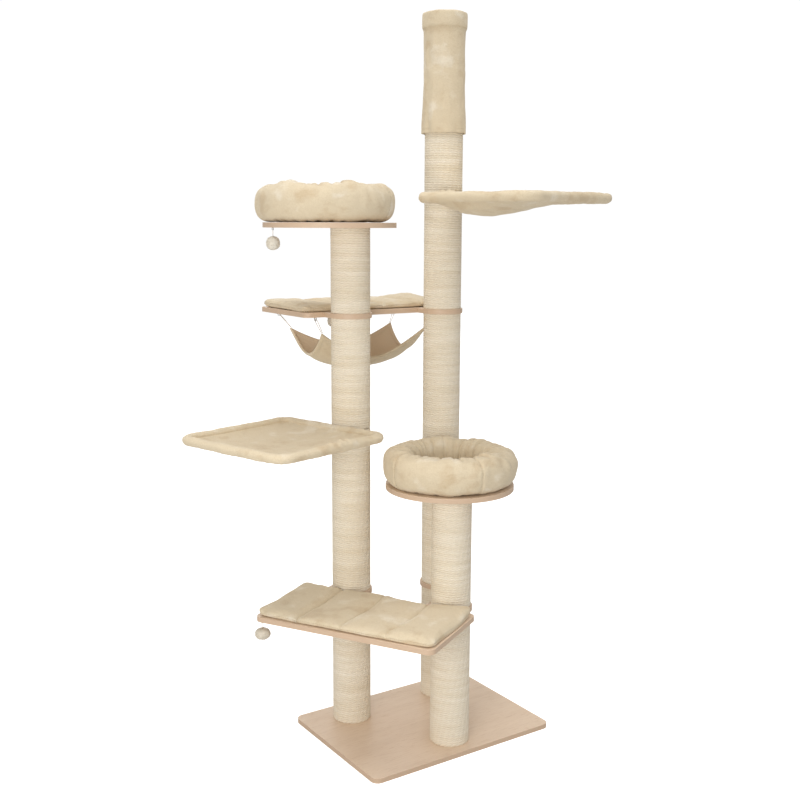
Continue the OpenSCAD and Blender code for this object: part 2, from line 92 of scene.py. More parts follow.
class Graph:
    """Short calls that add and join the nodes of one tree."""

    def __init__(self, tree: bpy.types.NodeTree) -> None:
        """Keeps the tree and empties it."""
        self.tree = tree
        tree.nodes.clear()

    def add(self, kind: str, inputs: Optional[dict] = None, **settings: object) -> bpy.types.Node:
        """Adds a node.

        Args:
            kind: the node's type name.
            inputs: values or sockets for its inputs, by name or index.
            **settings: the node's own properties.

        Returns:
            The node.
        """
        node = self.tree.nodes.new(kind)
        for key, value in settings.items():
            setattr(node, key, value)
        for key, value in (inputs or {}).items():
            if isinstance(value, Socket):
                self.tree.links.new(value, node.inputs[key])
            else:
                node.inputs[key].default_value = value
        return node

    def get(self, kind: str, inputs: Optional[dict] = None, output: int | str = 0,
            **settings: object) -> Socket:
        """Adds a node as add() does and returns one of its outputs."""
        return self.add(kind, inputs, **settings).outputs[output]

    def maths(self, operation: str, *values: float | Socket) -> Socket:
        """Adds a Math node with the given operation and returns its output."""
        return self.get("ShaderNodeMath", dict(enumerate(values)), operation=operation)

    def vector(self, operation: str, *values: object) -> Socket:
        """Adds a Vector Math node with the given operation and returns its vector."""
        return self.get("ShaderNodeVectorMath", dict(enumerate(values)), operation=operation)

    def noise(self, where: Socket, scale: float, detail: float = 2.0, warp: float = 0.0) -> Socket:
        """Adds a noise of the given scale at the given place and returns its value."""
        inputs = {"Vector": where, "Scale": scale, "Detail": detail, "Distortion": warp}
        return self.get("ShaderNodeTexNoise", inputs)

    def stretch(self, where: Socket, scale: Sequence[float], turn: float = 0.0) -> Socket:
        """Turns a pattern about the vertical and stretches it.

        Args:
            where: the coordinates to change.
            scale: the pattern's scale along each axis, after the turn.
            turn: the turn in radians.

        Returns:
            The changed coordinates.
        """
        turned = self.get("ShaderNodeMapping", {"Vector": where, "Rotation": (0, 0, turn)})
        return self.get("ShaderNodeMapping", {"Vector": turned, "Scale": scale})

    def ramp(self, value: Socket, stops: Sequence[tuple[float, Colour]]) -> Socket:
        """Adds a colour ramp and returns its colour.

        Args:
            value: what the ramp reads.
            stops: each stop's place and colour, in order.

        Returns:
            The ramp's colour.
        """
        node = self.add("ShaderNodeValToRGB", {0: value})
        elements = node.color_ramp.elements
        while len(elements) < len(stops):
            elements.new(1.0)
        for element, (place, colour) in zip(elements, stops):
            element.position, element.color = place, colour
        return node.outputs[0]

    def mix(self, factor: float | Socket, low: object, high: object, blend: str = "MIX") -> Socket:
        """Mixes two colours by a factor and returns the result."""
        inputs = {0: factor, 6: low, 7: high}
        return self.get("ShaderNodeMix", inputs, output=2, data_type="RGBA", blend_type=blend)

    def bump(self, height: Socket, distance: float, strength: float = 1.0,
             under: Optional[Socket] = None) -> Socket:
        """Adds a bump over an optional normal and returns the new normal."""
        inputs = {"Height": height, "Distance": distance, "Strength": strength}
        if under is not None:
            inputs["Normal"] = under
        return self.get("ShaderNodeBump", inputs)


# ---------------------------------------------------------------- finishes


@dataclass(frozen=True)
class Finish:
    """A surface finish. Its material is made once and shared."""

    name: str
    slot: str

    def material(self) -> bpy.types.Material:
        """Returns the finish's material, made the first time it is asked for."""
        known = bpy.data.materials.get(self.name)
        if known:
            return known
        made = bpy.data.materials.new(self.name)
        made.use_nodes = True
        graph = Graph(made.node_tree)
        skin = graph.add("ShaderNodeBsdfPrincipled")
        graph.add("ShaderNodeOutputMaterial", {"Surface": skin.outputs[0]})
        self.paint_on(graph, skin, graph.get("ShaderNodeTexCoord", output="Object"))
        return made

    def paint_on(self, graph: Graph, skin: bpy.types.Node, where: Socket) -> None:
        """Adds the finish's own nodes.

        Args:
            graph: the material's tree.
            skin: its Principled shader.
            where: the piece's Object coordinates.
        """
        raise NotImplementedError

    @staticmethod
    def wear(graph: Graph, skin: bpy.types.Node, **values: object) -> None:
        """Sets or joins the shader's sockets; a name's underscores stand for spaces."""
        for key, value in values.items():
            socket = skin.inputs[key.replace("_", " ")]
            if isinstance(value, Socket):
                graph.tree.links.new(value, socket)
            else:
                socket.default_value = value


@dataclass(frozen=True)
class Plush(Finish):
    """Short-pile plush: crushed patches painted as lighter and darker colour for the sheen of pile lying
    different ways, a soft sheen and a fine pile.
    """

    nap: Colour = paint(208, 189, 159)
    body: Colour = paint(219, 204, 177)
    crest: Colour = paint(230, 219, 199)
    sheen: float = 0.25

    def paint_on(self, graph: Graph, skin: bpy.types.Node, where: Socket) -> None:
        """Adds crushed patches as painted sheen in the colour, pile and the shader's own sheen."""
        drift = graph.noise(where, 11.0, 1.5, 0.3)
        brush = graph.noise(graph.stretch(where, (26, 26, 40)), 1.0, 2.5, 0.25)
        pile = graph.noise(where, 620.0, 2.0)
        tone = graph.maths("MULTIPLY_ADD", brush, 0.4, graph.maths("MULTIPLY", drift, 0.6))
        # Painted sheen: the nap, body and crest colours make patches lighter and darker where the pile lies
        # different ways.
        stops = ((0.34, self.nap), (0.46, self.body), (0.55, self.body), (0.66, self.crest))
        colour = graph.ramp(tone, stops)
        speck = graph.ramp(pile, ((0.3, paint(226, 221, 212)), (0.62, paint(255, 255, 255))))
        colour = graph.mix(0.8, colour, speck, "MULTIPLY")
        soft = graph.bump(brush, 5.0 * MM, 0.4)
        normal = graph.bump(pile, 0.9 * MM, 0.5, soft)
        self.wear(graph, skin, Base_Color=colour, Roughness=0.92, Normal=normal)
        self.wear(graph, skin, Sheen_Weight=self.sheen, Sheen_Roughness=0.45, Specular_IOR_Level=0.2)
        skin.inputs["Sheen Tint"].default_value = paint(255, 246, 228)


@dataclass(frozen=True)
class Sisal(Finish):
    """Three-strand sisal rope. It reads the rope's own girth and along attributes."""

    lay: float = 0.026
    strands: int = 3
    straw: Colour = paint(236, 228, 213)
    # Painted shade for the grooves between the strands.
    groove_shade: Colour = paint(218, 206, 184)

    def paint_on(self, graph: Graph, skin: bpy.types.Node, where: Socket) -> None:
        """Adds the twist of the strands with painted shade in the grooves between them, their fibres and a
        slow change of colour.
        """
        girth = graph.get("ShaderNodeAttribute", attribute_name="girth", output="Vector")
        along = graph.get("ShaderNodeAttribute", attribute_name="along", output="Fac")
        axes = graph.add("ShaderNodeSeparateXYZ", {0: girth}).outputs
        angle = graph.maths("ARCTAN2", axes[1], axes[0])
        round_it = graph.maths("MULTIPLY", angle, self.strands / 2)
        turned = graph.maths("MULTIPLY_ADD", along, math.pi / self.lay * self.strands / 2, round_it)
        strand = graph.maths("ABSOLUTE", graph.maths("SINE", turned))
        rounded = graph.maths("POWER", strand, 0.6)
        fibre = graph.noise(graph.stretch(where, (260, 260, 900)), 1.0, 3.0, 0.4)
        drift = graph.noise(graph.stretch(where, (5, 5, 60)), 1.0, 3.0)
        tone = graph.maths("MULTIPLY_ADD", rounded, 0.5, graph.maths("MULTIPLY", fibre, 0.5))
        # Painted shade in the grooves between the strands, mixed with the fibres' own tone: low tone takes
        # the darker colour.
        colour = graph.ramp(tone, ((0.18, self.groove_shade), (0.62, self.straw)))
        warm = graph.ramp(drift, ((0.3, paint(240, 233, 220)), (0.7, paint(255, 253, 249))))
        colour = graph.mix(0.8, colour, warm, "MULTIPLY")
        normal = graph.bump(fibre, 0.7 * MM, 0.7, graph.bump(rounded, 1.1 * MM, 0.8))
        self.wear(graph, skin, Base_Color=colour, Roughness=0.86, Normal=normal, Specular_IOR_Level=0.25)


@dataclass(frozen=True)
class Foil(Finish):
    """Beech-grained foil on a board, with a darker edge band."""

    turn: float = 0.0
    pale: Colour = paint(223, 200, 175)
    deep: Colour = paint(209, 183, 156)
    edge: Colour = paint(200, 172, 145)

    def paint_on(self, graph: Graph, skin: bpy.types.Node, where: Socket) -> None:
        """Adds long grain, short pores and the edge band."""
        grain = graph.noise(graph.stretch(where, (1.6, 22, 22), self.turn), 1.0, 5.0, 0.6)
        pores = graph.noise(graph.stretch(where, (28, 460, 460), self.turn), 1.0, 2.0)
        band = graph.noise(graph.stretch(where, (30, 30, 260)), 1.0, 3.0)
        streak = graph.ramp(grain, ((0.3, self.deep), (0.52, self.pale), (0.75, self.deep)))
        flat = graph.mix(0.45, self.pale, streak)
        dark = graph.ramp(pores, ((0.28, paint(226, 214, 204)), (0.42, paint(255, 255, 255))))
        flat = graph.mix(0.6, flat, dark, "MULTIPLY")
        rim = graph.mix(0.55, self.edge, graph.ramp(band, ((0.3, self.deep), (0.7, self.edge))))
        facing = graph.add("ShaderNodeSeparateXYZ", {0: graph.get("ShaderNodeNewGeometry", output="Normal")})
        level = graph.maths("GREATER_THAN", graph.maths("ABSOLUTE", facing.outputs[2]), 0.7)
        colour = graph.mix(level, rim, flat)
        rough = graph.ramp(pores, ((0.3, (0.62,) * 3 + (1,)), (0.6, (0.45,) * 3 + (1,))))
        normal = graph.bump(pores, 0.15 * MM, 0.4)
        self.wear(graph, skin, Base_Color=colour, Roughness=rough, Normal=normal)


@dataclass(frozen=True)
class RawWood(Finish):
    """Raw chipboard: flakes of several browns."""

    def paint_on(self, graph: Graph, skin: bpy.types.Node, where: Socket) -> None:
        """Adds the flakes."""
        inputs = {"Vector": graph.stretch(where, (240, 240, 480)), "Scale": 1.0}
        flake = graph.get("ShaderNodeTexVoronoi", inputs, output="Color")
        tone = graph.add("ShaderNodeSeparateXYZ", {0: flake}).outputs[0]
        browns = ((0.1, paint(176, 140, 98)), (0.5, paint(204, 170, 124)), (0.9, paint(222, 194, 152)))
        colour = graph.ramp(tone, browns)
        self.wear(graph, skin, Base_Color=colour, Roughness=0.85, Normal=graph.bump(tone, 0.4 * MM, 0.5))


@dataclass(frozen=True)
class Card(Finish):
    """Grey-brown card tube wound from strips."""

    def paint_on(self, graph: Graph, skin: bpy.types.Node, where: Socket) -> None:
        """Adds the strips' fibres and faint joints."""
        fibre = graph.noise(graph.stretch(where, (90, 90, 500)), 1.0, 4.0)
        colour = graph.ramp(fibre, ((0.3, paint(150, 122, 88)), (0.7, paint(178, 148, 110))))
        self.wear(graph, skin, Base_Color=colour, Roughness=0.9, Normal=graph.bump(fibre, 0.3 * MM, 0.5))


@dataclass(frozen=True)
class Metal(Finish):
    """Plated or powder-coated steel."""

    colour: Colour = paint(196, 197, 196)
    metallic: float = 1.0
    rough: float = 0.34
    grain: float = 900.0

    def paint_on(self, graph: Graph, skin: bpy.types.Node, where: Socket) -> None:
        """Adds a fine grain and small changes of gloss."""
        grain = graph.noise(where, self.grain, 2.0)
        cloud = graph.noise(where, 60.0, 3.0)
        colour = graph.mix(graph.maths("MULTIPLY", cloud, 0.35), self.colour, paint(150, 150, 150))
        rough = graph.maths("MULTIPLY_ADD", cloud, 0.2, self.rough - 0.1)
        normal = graph.bump(grain, 0.08 * MM, 0.4)
        self.wear(graph, skin, Base_Color=colour, Metallic=self.metallic, Roughness=rough, Normal=normal)


@dataclass(frozen=True)
class Cotton(Finish):
    """Twisted cotton cord and sewing thread."""

    colour: Colour = paint(206, 188, 160)
    # Painted shade for the grooves between the twisted plies.
    groove_shade: Colour = paint(164, 142, 114)

    def paint_on(self, graph: Graph, skin: bpy.types.Node, where: Socket) -> None:
        """Adds the twist as fine slanting bands, painted darker as shade in the grooves between the plies."""
        inputs = {"Vector": graph.stretch(where, (500, 500, 900)), "Scale": 0.35, "Distortion": 1.0}
        twist = graph.get("ShaderNodeTexWave", inputs, output="Fac")
        # Painted shade: the twist bands darken where the plies meet.
        colour = graph.ramp(twist, ((0.1, self.groove_shade), (0.6, self.colour)))
        self.wear(graph, skin, Base_Color=colour, Roughness=0.85, Normal=graph.bump(twist, 0.25 * MM, 0.6))


@dataclass(frozen=True)
class Foam(Finish):
    """Closed-cell foam, dark grey."""

    def paint_on(self, graph: Graph, skin: bpy.types.Node, where: Socket) -> None:
        """Adds the cells."""
        cell = graph.get("ShaderNodeTexVoronoi", {"Vector": where, "Scale": 700.0}, output="Distance")
        colour = graph.ramp(cell, ((0.1, paint(44, 44, 46)), (0.8, paint(78, 78, 80))))
        self.wear(graph, skin, Base_Color=colour, Roughness=0.9, Normal=graph.bump(cell, 0.5 * MM, 0.6))


PLUSH = Plush("beige_plush", "plush")
# Painted light: a brighter, warmer copy of the plush for the mat's upper side, standing in for lamp light
# that barely reaches the hollow under the shelf.
HAMMOCK_LIT_LINING = Plush("hammock_plush", "hammock_plush",
                      paint(244, 204, 153), paint(250, 217, 172), paint(253, 228, 191))
SISAL = Sisal("sisal_rope", "sisal")
RAW_WOOD = RawWood("raw_chipboard", "plain_wood")
CARD = Card("card_tube", "cardboard_core")
ZINC = Metal("zinc_plate", "zinc_steel")
COATED = Metal("powder_coat", "coated_steel", paint(176, 172, 164), 0.0, 0.5, 500.0)
CORD = Cotton("cotton_cord", "cord")
TOY_PLUSH = Plush("toy_plush", "plush", paint(216, 206, 188), paint(228, 220, 205), paint(238, 233, 222))
THREAD = Cotton("sewing_thread", "plush", paint(200, 178, 142), paint(160, 136, 100))
FOAM = Foam("grey_foam", "foam")


# ---------------------------------------------------------------- meshes


def make(name: str, points: np.ndarray, faces: Iterable, finish: Finish) -> bpy.types.Object:
    """Makes a smooth object with outward faces.

    Args:
        name: the piece's name.
        points: its points, one row each.
        faces: its faces, as tuples of point numbers.
        finish: what it is made of.

    Returns:
        The object, linked to the scene.
    """
    mesh = bpy.data.meshes.new(name)
    mesh.from_pydata(np.asarray(points, float).tolist(), [], [tuple(map(int, face)) for face in faces])
    work = bmesh.new()
    work.from_mesh(mesh)
    bmesh.ops.recalc_face_normals(work, faces=work.faces)
    work.to_mesh(mesh)
    work.free()
    return wrap(name, mesh, finish)


def wrap(name: str, mesh: bpy.types.Mesh, finish: Finish) -> bpy.types.Object:
    """Puts a mesh in a smooth object of one finish and links it."""
    mesh.polygons.foreach_set("use_smooth", [True] * len(mesh.polygons))
    mesh.materials.clear()
    mesh.materials.append(finish.material())
    piece = bpy.data.objects.new(name, mesh)
    bpy.context.scene.collection.objects.link(piece)
    return piece


def grid_faces(rows: int, columns: int, wrap_rows: bool = False,
               wrap_columns: bool = False) -> list[tuple[int, int, int, int]]:
    """The quads of a grid of points.

    Args:
        rows, columns: the grid's size in points.
        wrap_rows, wrap_columns: whether its last row or column meets its first.

    Returns:
        The quads.
    """
    row_ends = rows if wrap_rows else rows - 1
    column_ends = columns if wrap_columns else columns - 1
    return [(i * columns + j, i * columns + (j + 1) % columns,
             (i + 1) % rows * columns + (j + 1) % columns, (i + 1) % rows * columns + j)
            for i in range(row_ends) for j in range(column_ends)]


def loft(name: str, rings: np.ndarray, finish: Finish, closed: bool = False) -> bpy.types.Object:
    """Makes a closed skin through rings of points.

    Args:
        name: the piece's name.
        rings: an array of rings, points and coordinates.
        finish: what it is made of.
        closed: whether the last ring meets the first; if not, the two end rings are filled.

    Returns:
        The object.
    """
    count, around = rings.shape[:2]
    faces: list[tuple[int, ...]] = list(grid_faces(count, around, closed, True))
    points = rings.reshape(-1, 3)
    if not closed:
        ends = np.array([rings[0].mean(0), rings[-1].mean(0)])
        points = np.vstack([points, ends])
        for end, start in ((len(points) - 2, 0), (len(points) - 1, (count - 1) * around)):
            faces += [(start + j, start + (j + 1) % around, end) for j in range(around)]
    return make(name, points, faces, finish)


def sheet_shell(name: str, grid: np.ndarray, thickness: np.ndarray, finish: Finish,
                lining: Optional[Finish] = None) -> bpy.types.Object:
    """Gives an open grid of points its thickness and closes its edges.

    Args:
        name: the piece's name.
        grid: an array of rows, columns and coordinates, its upper side where rows cross columns to the left.
        thickness: the thickness at each point.
        finish: the under side's finish.
        lining: the upper side's finish, if it differs.

    Returns:
        The object.
    """
    rows, columns = grid.shape[:2]
    normal = np.cross(np.gradient(grid, axis=0), np.gradient(grid, axis=1))
    normal /= np.linalg.norm(normal, axis=2, keepdims=True)
    half = thickness[..., None] / 2
    points = np.vstack([(grid + normal * half).reshape(-1, 3), (grid - normal * half).reshape(-1, 3)])
    upper = grid_faces(rows, columns)
    size = rows * columns
    border = [j for j in range(columns)] + [i * columns + columns - 1 for i in range(1, rows)]
    border += [(rows - 1) * columns + j for j in range(columns - 2, -1, -1)]
    border += [i * columns for i in range(rows - 2, 0, -1)]
    faces = upper + [tuple(size + p for p in face[::-1]) for face in upper]
    faces += [(a, b, size + b, size + a) for a, b in zip(border, border[1:] + border[:1])]
    piece = make(name, points, faces, finish)
    if lining is not None:
        piece.data.materials.append(lining.material())
        sides = [1 if index < len(upper) else 0 for index in range(len(faces))]
        piece.data.polygons.foreach_set("material_index", sides)
    return piece


def read(piece: bpy.types.Object, what: str = "co") -> np.ndarray:
    """The places of the piece's points as an array, or their normals where what is "normal"."""
    flat = np.zeros(len(piece.data.vertices) * 3, np.float32)
    piece.data.vertices.foreach_get(what, flat)
    return flat.reshape(-1, 3).astype(float)


def write_points(piece: bpy.types.Object, points: np.ndarray) -> None:
    """Moves the piece's points to the given places."""
    piece.data.vertices.foreach_set("co", points.astype(np.float32).ravel())
    piece.data.update()


def bake(piece: bpy.types.Object) -> None:
    """Turns the piece's live modifiers into its plain mesh."""
    bpy.context.view_layer.update()
    shown = piece.evaluated_get(bpy.context.evaluated_depsgraph_get())
    mesh = bpy.data.meshes.new_from_object(shown)
    piece.modifiers.clear()
    old, piece.data = piece.data, mesh
    mesh.name = piece.name
    bpy.data.meshes.remove(old)
    mesh.polygons.foreach_set("use_smooth", [True] * len(mesh.polygons))


def subdivide(piece: bpy.types.Object, levels: int = 1) -> None:
    """Subdivides the piece smoothly and keeps the result."""
    smooth = piece.modifiers.new("smooth", "SUBSURF")
    smooth.levels = smooth.render_levels = levels
    bake(piece)


def remesh(piece: bpy.types.Object, voxel: float) -> None:
    """Rebuilds the piece's skin from even squares."""
    even = piece.modifiers.new("even", "REMESH")
    even.mode, even.voxel_size = "VOXEL", voxel
    bake(piece)


@dataclass(frozen=True)
class Drape:
    """How a cloth is let go: its frames, pressure, weight and the most that a point may move."""

    frames: int = 20
    pressure: float = 0.0
    gravity: float = 0.0
    cap: float = 0.01
    spare: float = 0.0
    stiffness: float = 15.0
    bending: float = 0.5

    def let_go(self, piece: bpy.types.Object, held: Optional[np.ndarray] = None) -> None:
        """Runs the cloth on a piece and keeps its result.

        Args:
            piece: the piece, whose points are moved.
            held: how firmly each point is held, from 0 to 1; None holds no point.
        """
        start = read(piece)
        cloth = piece.modifiers.new("cloth", "CLOTH")
        settings = cloth.settings
        settings.quality, settings.mass = 6, 0.25
        settings.tension_stiffness = settings.compression_stiffness = self.stiffness
        settings.shear_stiffness = self.stiffness / 3
        settings.bending_stiffness = self.bending
        settings.shrink_min = -self.spare
        settings.effector_weights.gravity = self.gravity
        settings.use_pressure = self.pressure > 0
        settings.uniform_pressure_force = self.pressure
        if held is not None:
            group = piece.vertex_groups.new(name="held")
            for index in np.nonzero(held > 0)[0]:
                group.add([int(index)], float(held[index]), "REPLACE")
            settings.vertex_group_mass = "held"
        cloth.point_cache.frame_start, cloth.point_cache.frame_end = 1, self.frames
        for step in range(1, self.frames + 1):
            bpy.context.scene.frame_set(step)
        moved = read(piece.evaluated_get(bpy.context.evaluated_depsgraph_get())) - start
        piece.modifiers.clear()
        piece.vertex_groups.clear()
        bpy.context.scene.frame_set(1)
        length = np.linalg.norm(moved, axis=1, keepdims=True)
        write_points(piece, start + moved * np.minimum(1, self.cap / np.maximum(length, 1e-9)))


class Ripples:
    """A smooth, repeatable unevenness: a sum of waves in seeded directions."""

    def __init__(self, seed: int, wavelength: float, count: int = 9) -> None:
        """Draws the waves.

        Args:
            seed: the seed of the draw.
            wavelength: the middle wavelength.
            count: how many waves are added up.
        """
        draw = np.random.default_rng(seed)
        direction = draw.normal(size=(count, 3))
        direction /= np.linalg.norm(direction, axis=1, keepdims=True)
        self.waves = direction * (TURN / (wavelength * draw.uniform(0.7, 1.4, count)))[:, None]
        self.phases = draw.uniform(0, TURN, count)

    def at(self, points: np.ndarray) -> np.ndarray:
        """The unevenness at some points, mostly from -1 to 1."""
        return np.sin(points @ self.waves.T + self.phases).sum(1) / math.sqrt(len(self.phases) / 2) / 1.6

    def folds(self, points: np.ndarray) -> np.ndarray:
        """Narrow valleys between broad crests at some points, from 0 to 1."""
        return 1 - np.clip(np.abs(self.at(points)) * 2.2, 0, 1)


def smooth_step(low: float, high: float, values: np.ndarray) -> np.ndarray:
    """Rises smoothly from 0 at low to 1 at high."""
    share = np.clip((values - low) / (high - low), 0, 1)
    return share * share * (3 - 2 * share)


def dent(distance: np.ndarray, width: float) -> np.ndarray:
    """A soft dent: 1 at no distance, and nearly nothing past twice the width."""
    return np.exp(-(distance / width) ** 2)


def apart(turns: np.ndarray, direction: float) -> np.ndarray:
    """How far some directions lie from one, in radians, from minus to plus half a turn."""
    return np.angle(np.exp(1j * (turns - direction)))


def polar(points: np.ndarray) -> tuple[np.ndarray, np.ndarray]:
    """The directions and distances of some points from the vertical axis."""
    return np.arctan2(points[:, 1], points[:, 0]), np.hypot(points[:, 0], points[:, 1])


def rounded_outline(half_x: float, half_y: float, corner: float, count: int) -> tuple[np.ndarray, np.ndarray]:
    """Evenly spaced points on a rectangle with round corners.

    Args:
        half_x, half_y: its half sizes.
        corner: the radius of its corners.
        count: the number of points.

    Returns:
        The points and the outward directions at them, both with z = 0.
    """
    sides = [2 * (half_y - corner), 2 * (half_x - corner)] * 2
    arc = corner * math.pi / 2
    starts = [((half_x, -half_y + corner), 0), ((half_x - corner, half_y), 90),
              ((-half_x, half_y - corner), 180), ((-half_x + corner, -half_y), 270)]
    total = sum(sides) + 4 * arc
    points, outward = [], []
    for step in np.arange(count) / count * total:
        for side, (start, angle) in zip(sides, starts):
            turn = math.radians(angle)
            along = np.array([-math.sin(turn), math.cos(turn), 0])
            out = np.array([math.cos(turn), math.sin(turn), 0])
            if step < side:
                points.append(np.array([*start, 0.0]) + along * step)
                outward.append(out)
                break
            step -= side
            if step < arc:
                bend = step / corner
                facing = out * math.cos(bend) + along * math.sin(bend)
                points.append(np.array([*start, 0.0]) + along * side + (facing - out) * corner)
                outward.append(facing)
                break
            step -= arc
    return np.array(points), np.array(outward)


def place(points: np.ndarray, centre: Sequence[float], turn: float = 0.0) -> np.ndarray:
    """Turns points about the vertical, then moves them.

    Args:
        points: the points round their own centre.
        centre: where that centre goes.
        turn: the turn in radians.

    Returns:
        The placed points.
    """
    c, s = math.cos(turn), math.sin(turn)
    return points @ np.array([[c, s, 0], [-s, c, 0], [0, 0, 1]]) + np.asarray(centre, float)


def middle(node: str) -> Vector:
    """The middle of a CAD node's box."""
    low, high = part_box(node)
    return (low + high) / 2


def tube(name: str, route: np.ndarray, radius: float, finish: Finish, sides: int = 10) -> bpy.types.Object:
    """Makes a round cord along a route.

    Args:
        name: the piece's name.
        route: the points that its middle follows.
        radius: the cord's radius.
        finish: what it is made of.
        sides: the number of its sides.

    Returns:
        The object.
    """
    tangent = np.gradient(route, axis=0)
    tangent /= np.linalg.norm(tangent, axis=1, keepdims=True)
    side = np.cross(tangent[0], (0.31, 0.17, 0.93) if abs(tangent[0][2]) < 0.9 else (1.0, 0.2, 0))
    rings = []
    for point, ahead in zip(route, tangent):
        side = side - ahead * (side @ ahead)
        side /= np.linalg.norm(side)
        other = np.cross(ahead, side)
        turns = np.arange(sides) / sides * TURN
        rings.append(point + radius * (np.cos(turns)[:, None] * side + np.sin(turns)[:, None] * other))
    return loft(name, np.array(rings), finish)


def refine(route: np.ndarray, count: int) -> np.ndarray:
    """Runs a smooth line through a route's points.

    Args:
        route: the points.
        count: how many points the new line has between each two.

    Returns:
        The new line's points.
    """
    padded_route = np.vstack([2 * route[0] - route[1], route, 2 * route[-1] - route[-2]])
    line = []
    for a, b, c, d in zip(padded_route, padded_route[1:], padded_route[2:], padded_route[3:]):
        for t in np.arange(count) / count:
            line.append(0.5 * (2 * b + (c - a) * t + (2 * a - 5 * b + 4 * c - d) * t**2
                               + (3 * b - a - 3 * c + d) * t**3))
    return np.array(line + [route[-1]])


def on_surface(piece: bpy.types.Object, points: np.ndarray, lift: float) -> np.ndarray:
    """Lays points on a piece's surface.

    Args:
        piece: the piece.
        points: points near its surface.
        lift: how far they stand off it.

    Returns:
        The laid points.
    """
    tree = BVHTree.FromObject(piece, bpy.context.evaluated_depsgraph_get())
    laid = []
    for point in points:
        found, normal, _, _ = tree.find_nearest(Vector(point))
        laid.append(found + normal * lift)
    return np.array([tuple(p) for p in laid])


def dress(piece: bpy.types.Object, body: str, finish: Finish, *stands_for: str) -> bpy.types.Object:
    """Puts a finished piece on its body.

    Args:
        piece: the piece.
        body: the CAD body that it rides on.
        finish: not used.
        *stands_for: the CAD nodes that it replaces.

    Returns:
        The piece.
    """
    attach(piece, body)
    if stands_for:
        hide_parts(*stands_for)
    LOG.info("%-26s rides %-12s %6d faces", piece.name, body, len(piece.data.polygons))
    return piece


# ---------------------------------------------------------------- geometry nodes


class Kind(Enum):
    """The type of a Geometry Nodes input."""

    NUMBER = "NodeSocketFloat"
    COUNT = "NodeSocketInt"
    PLACE = "NodeSocketVector"
    FINISH = "NodeSocketMaterial"


class Maker:
    """A Geometry Nodes tree with named inputs, used as a short-lived modifier."""

    name = "maker"
    inputs: dict[str, Kind] = {}

    def __init__(self) -> None:
        """Makes the tree and its inputs, and lets the maker wire it."""
        self.tree = bpy.data.node_groups.new(self.name, "GeometryNodeTree")
        sockets = self.tree.interface
        self.keys: dict[str, str] = {}
        sockets.new_socket(name="Geometry", in_out="INPUT", socket_type="NodeSocketGeometry")
        for label, kind in {**self.inputs, "Finish": Kind.FINISH}.items():
            made = sockets.new_socket(name=label, in_out="INPUT", socket_type=kind.value)
            self.keys[label] = made.identifier
        sockets.new_socket(name="Geometry", in_out="OUTPUT", socket_type="NodeSocketGeometry")
        graph = Graph(self.tree)
        given = graph.add("NodeGroupInput").outputs
        made = self.wire(graph, given)
        smooth = graph.get("GeometryNodeSetShadeSmooth", {"Geometry": made})
        real = graph.get("GeometryNodeRealizeInstances", {"Geometry": smooth})
        dressed = graph.get("GeometryNodeSetMaterial", {"Geometry": real, "Material": given["Finish"]})
        graph.add("NodeGroupOutput", {0: dressed})

    def wire(self, graph: Graph, given: object) -> Socket:
        """Adds the maker's own nodes and returns the geometry they make."""
        raise NotImplementedError

    def run(self, piece: bpy.types.Object, finish: Finish, **values: object) -> bpy.types.Object:
        """Runs the tree on a piece and keeps its result as a plain mesh.

        Args:
            piece: the piece whose geometry goes in.
            finish: what the result is made of.
            **values: the named inputs; a name's underscores stand for spaces.

        Returns:
            The piece.
        """
        live = piece.modifiers.new(self.name, "NODES")
        live.node_group = self.tree
        for label, value in values.items():
            live[self.keys[label.replace("_", " ")]] = value
        live[self.keys["Finish"]] = finish.material()
        bake(piece)
        return piece


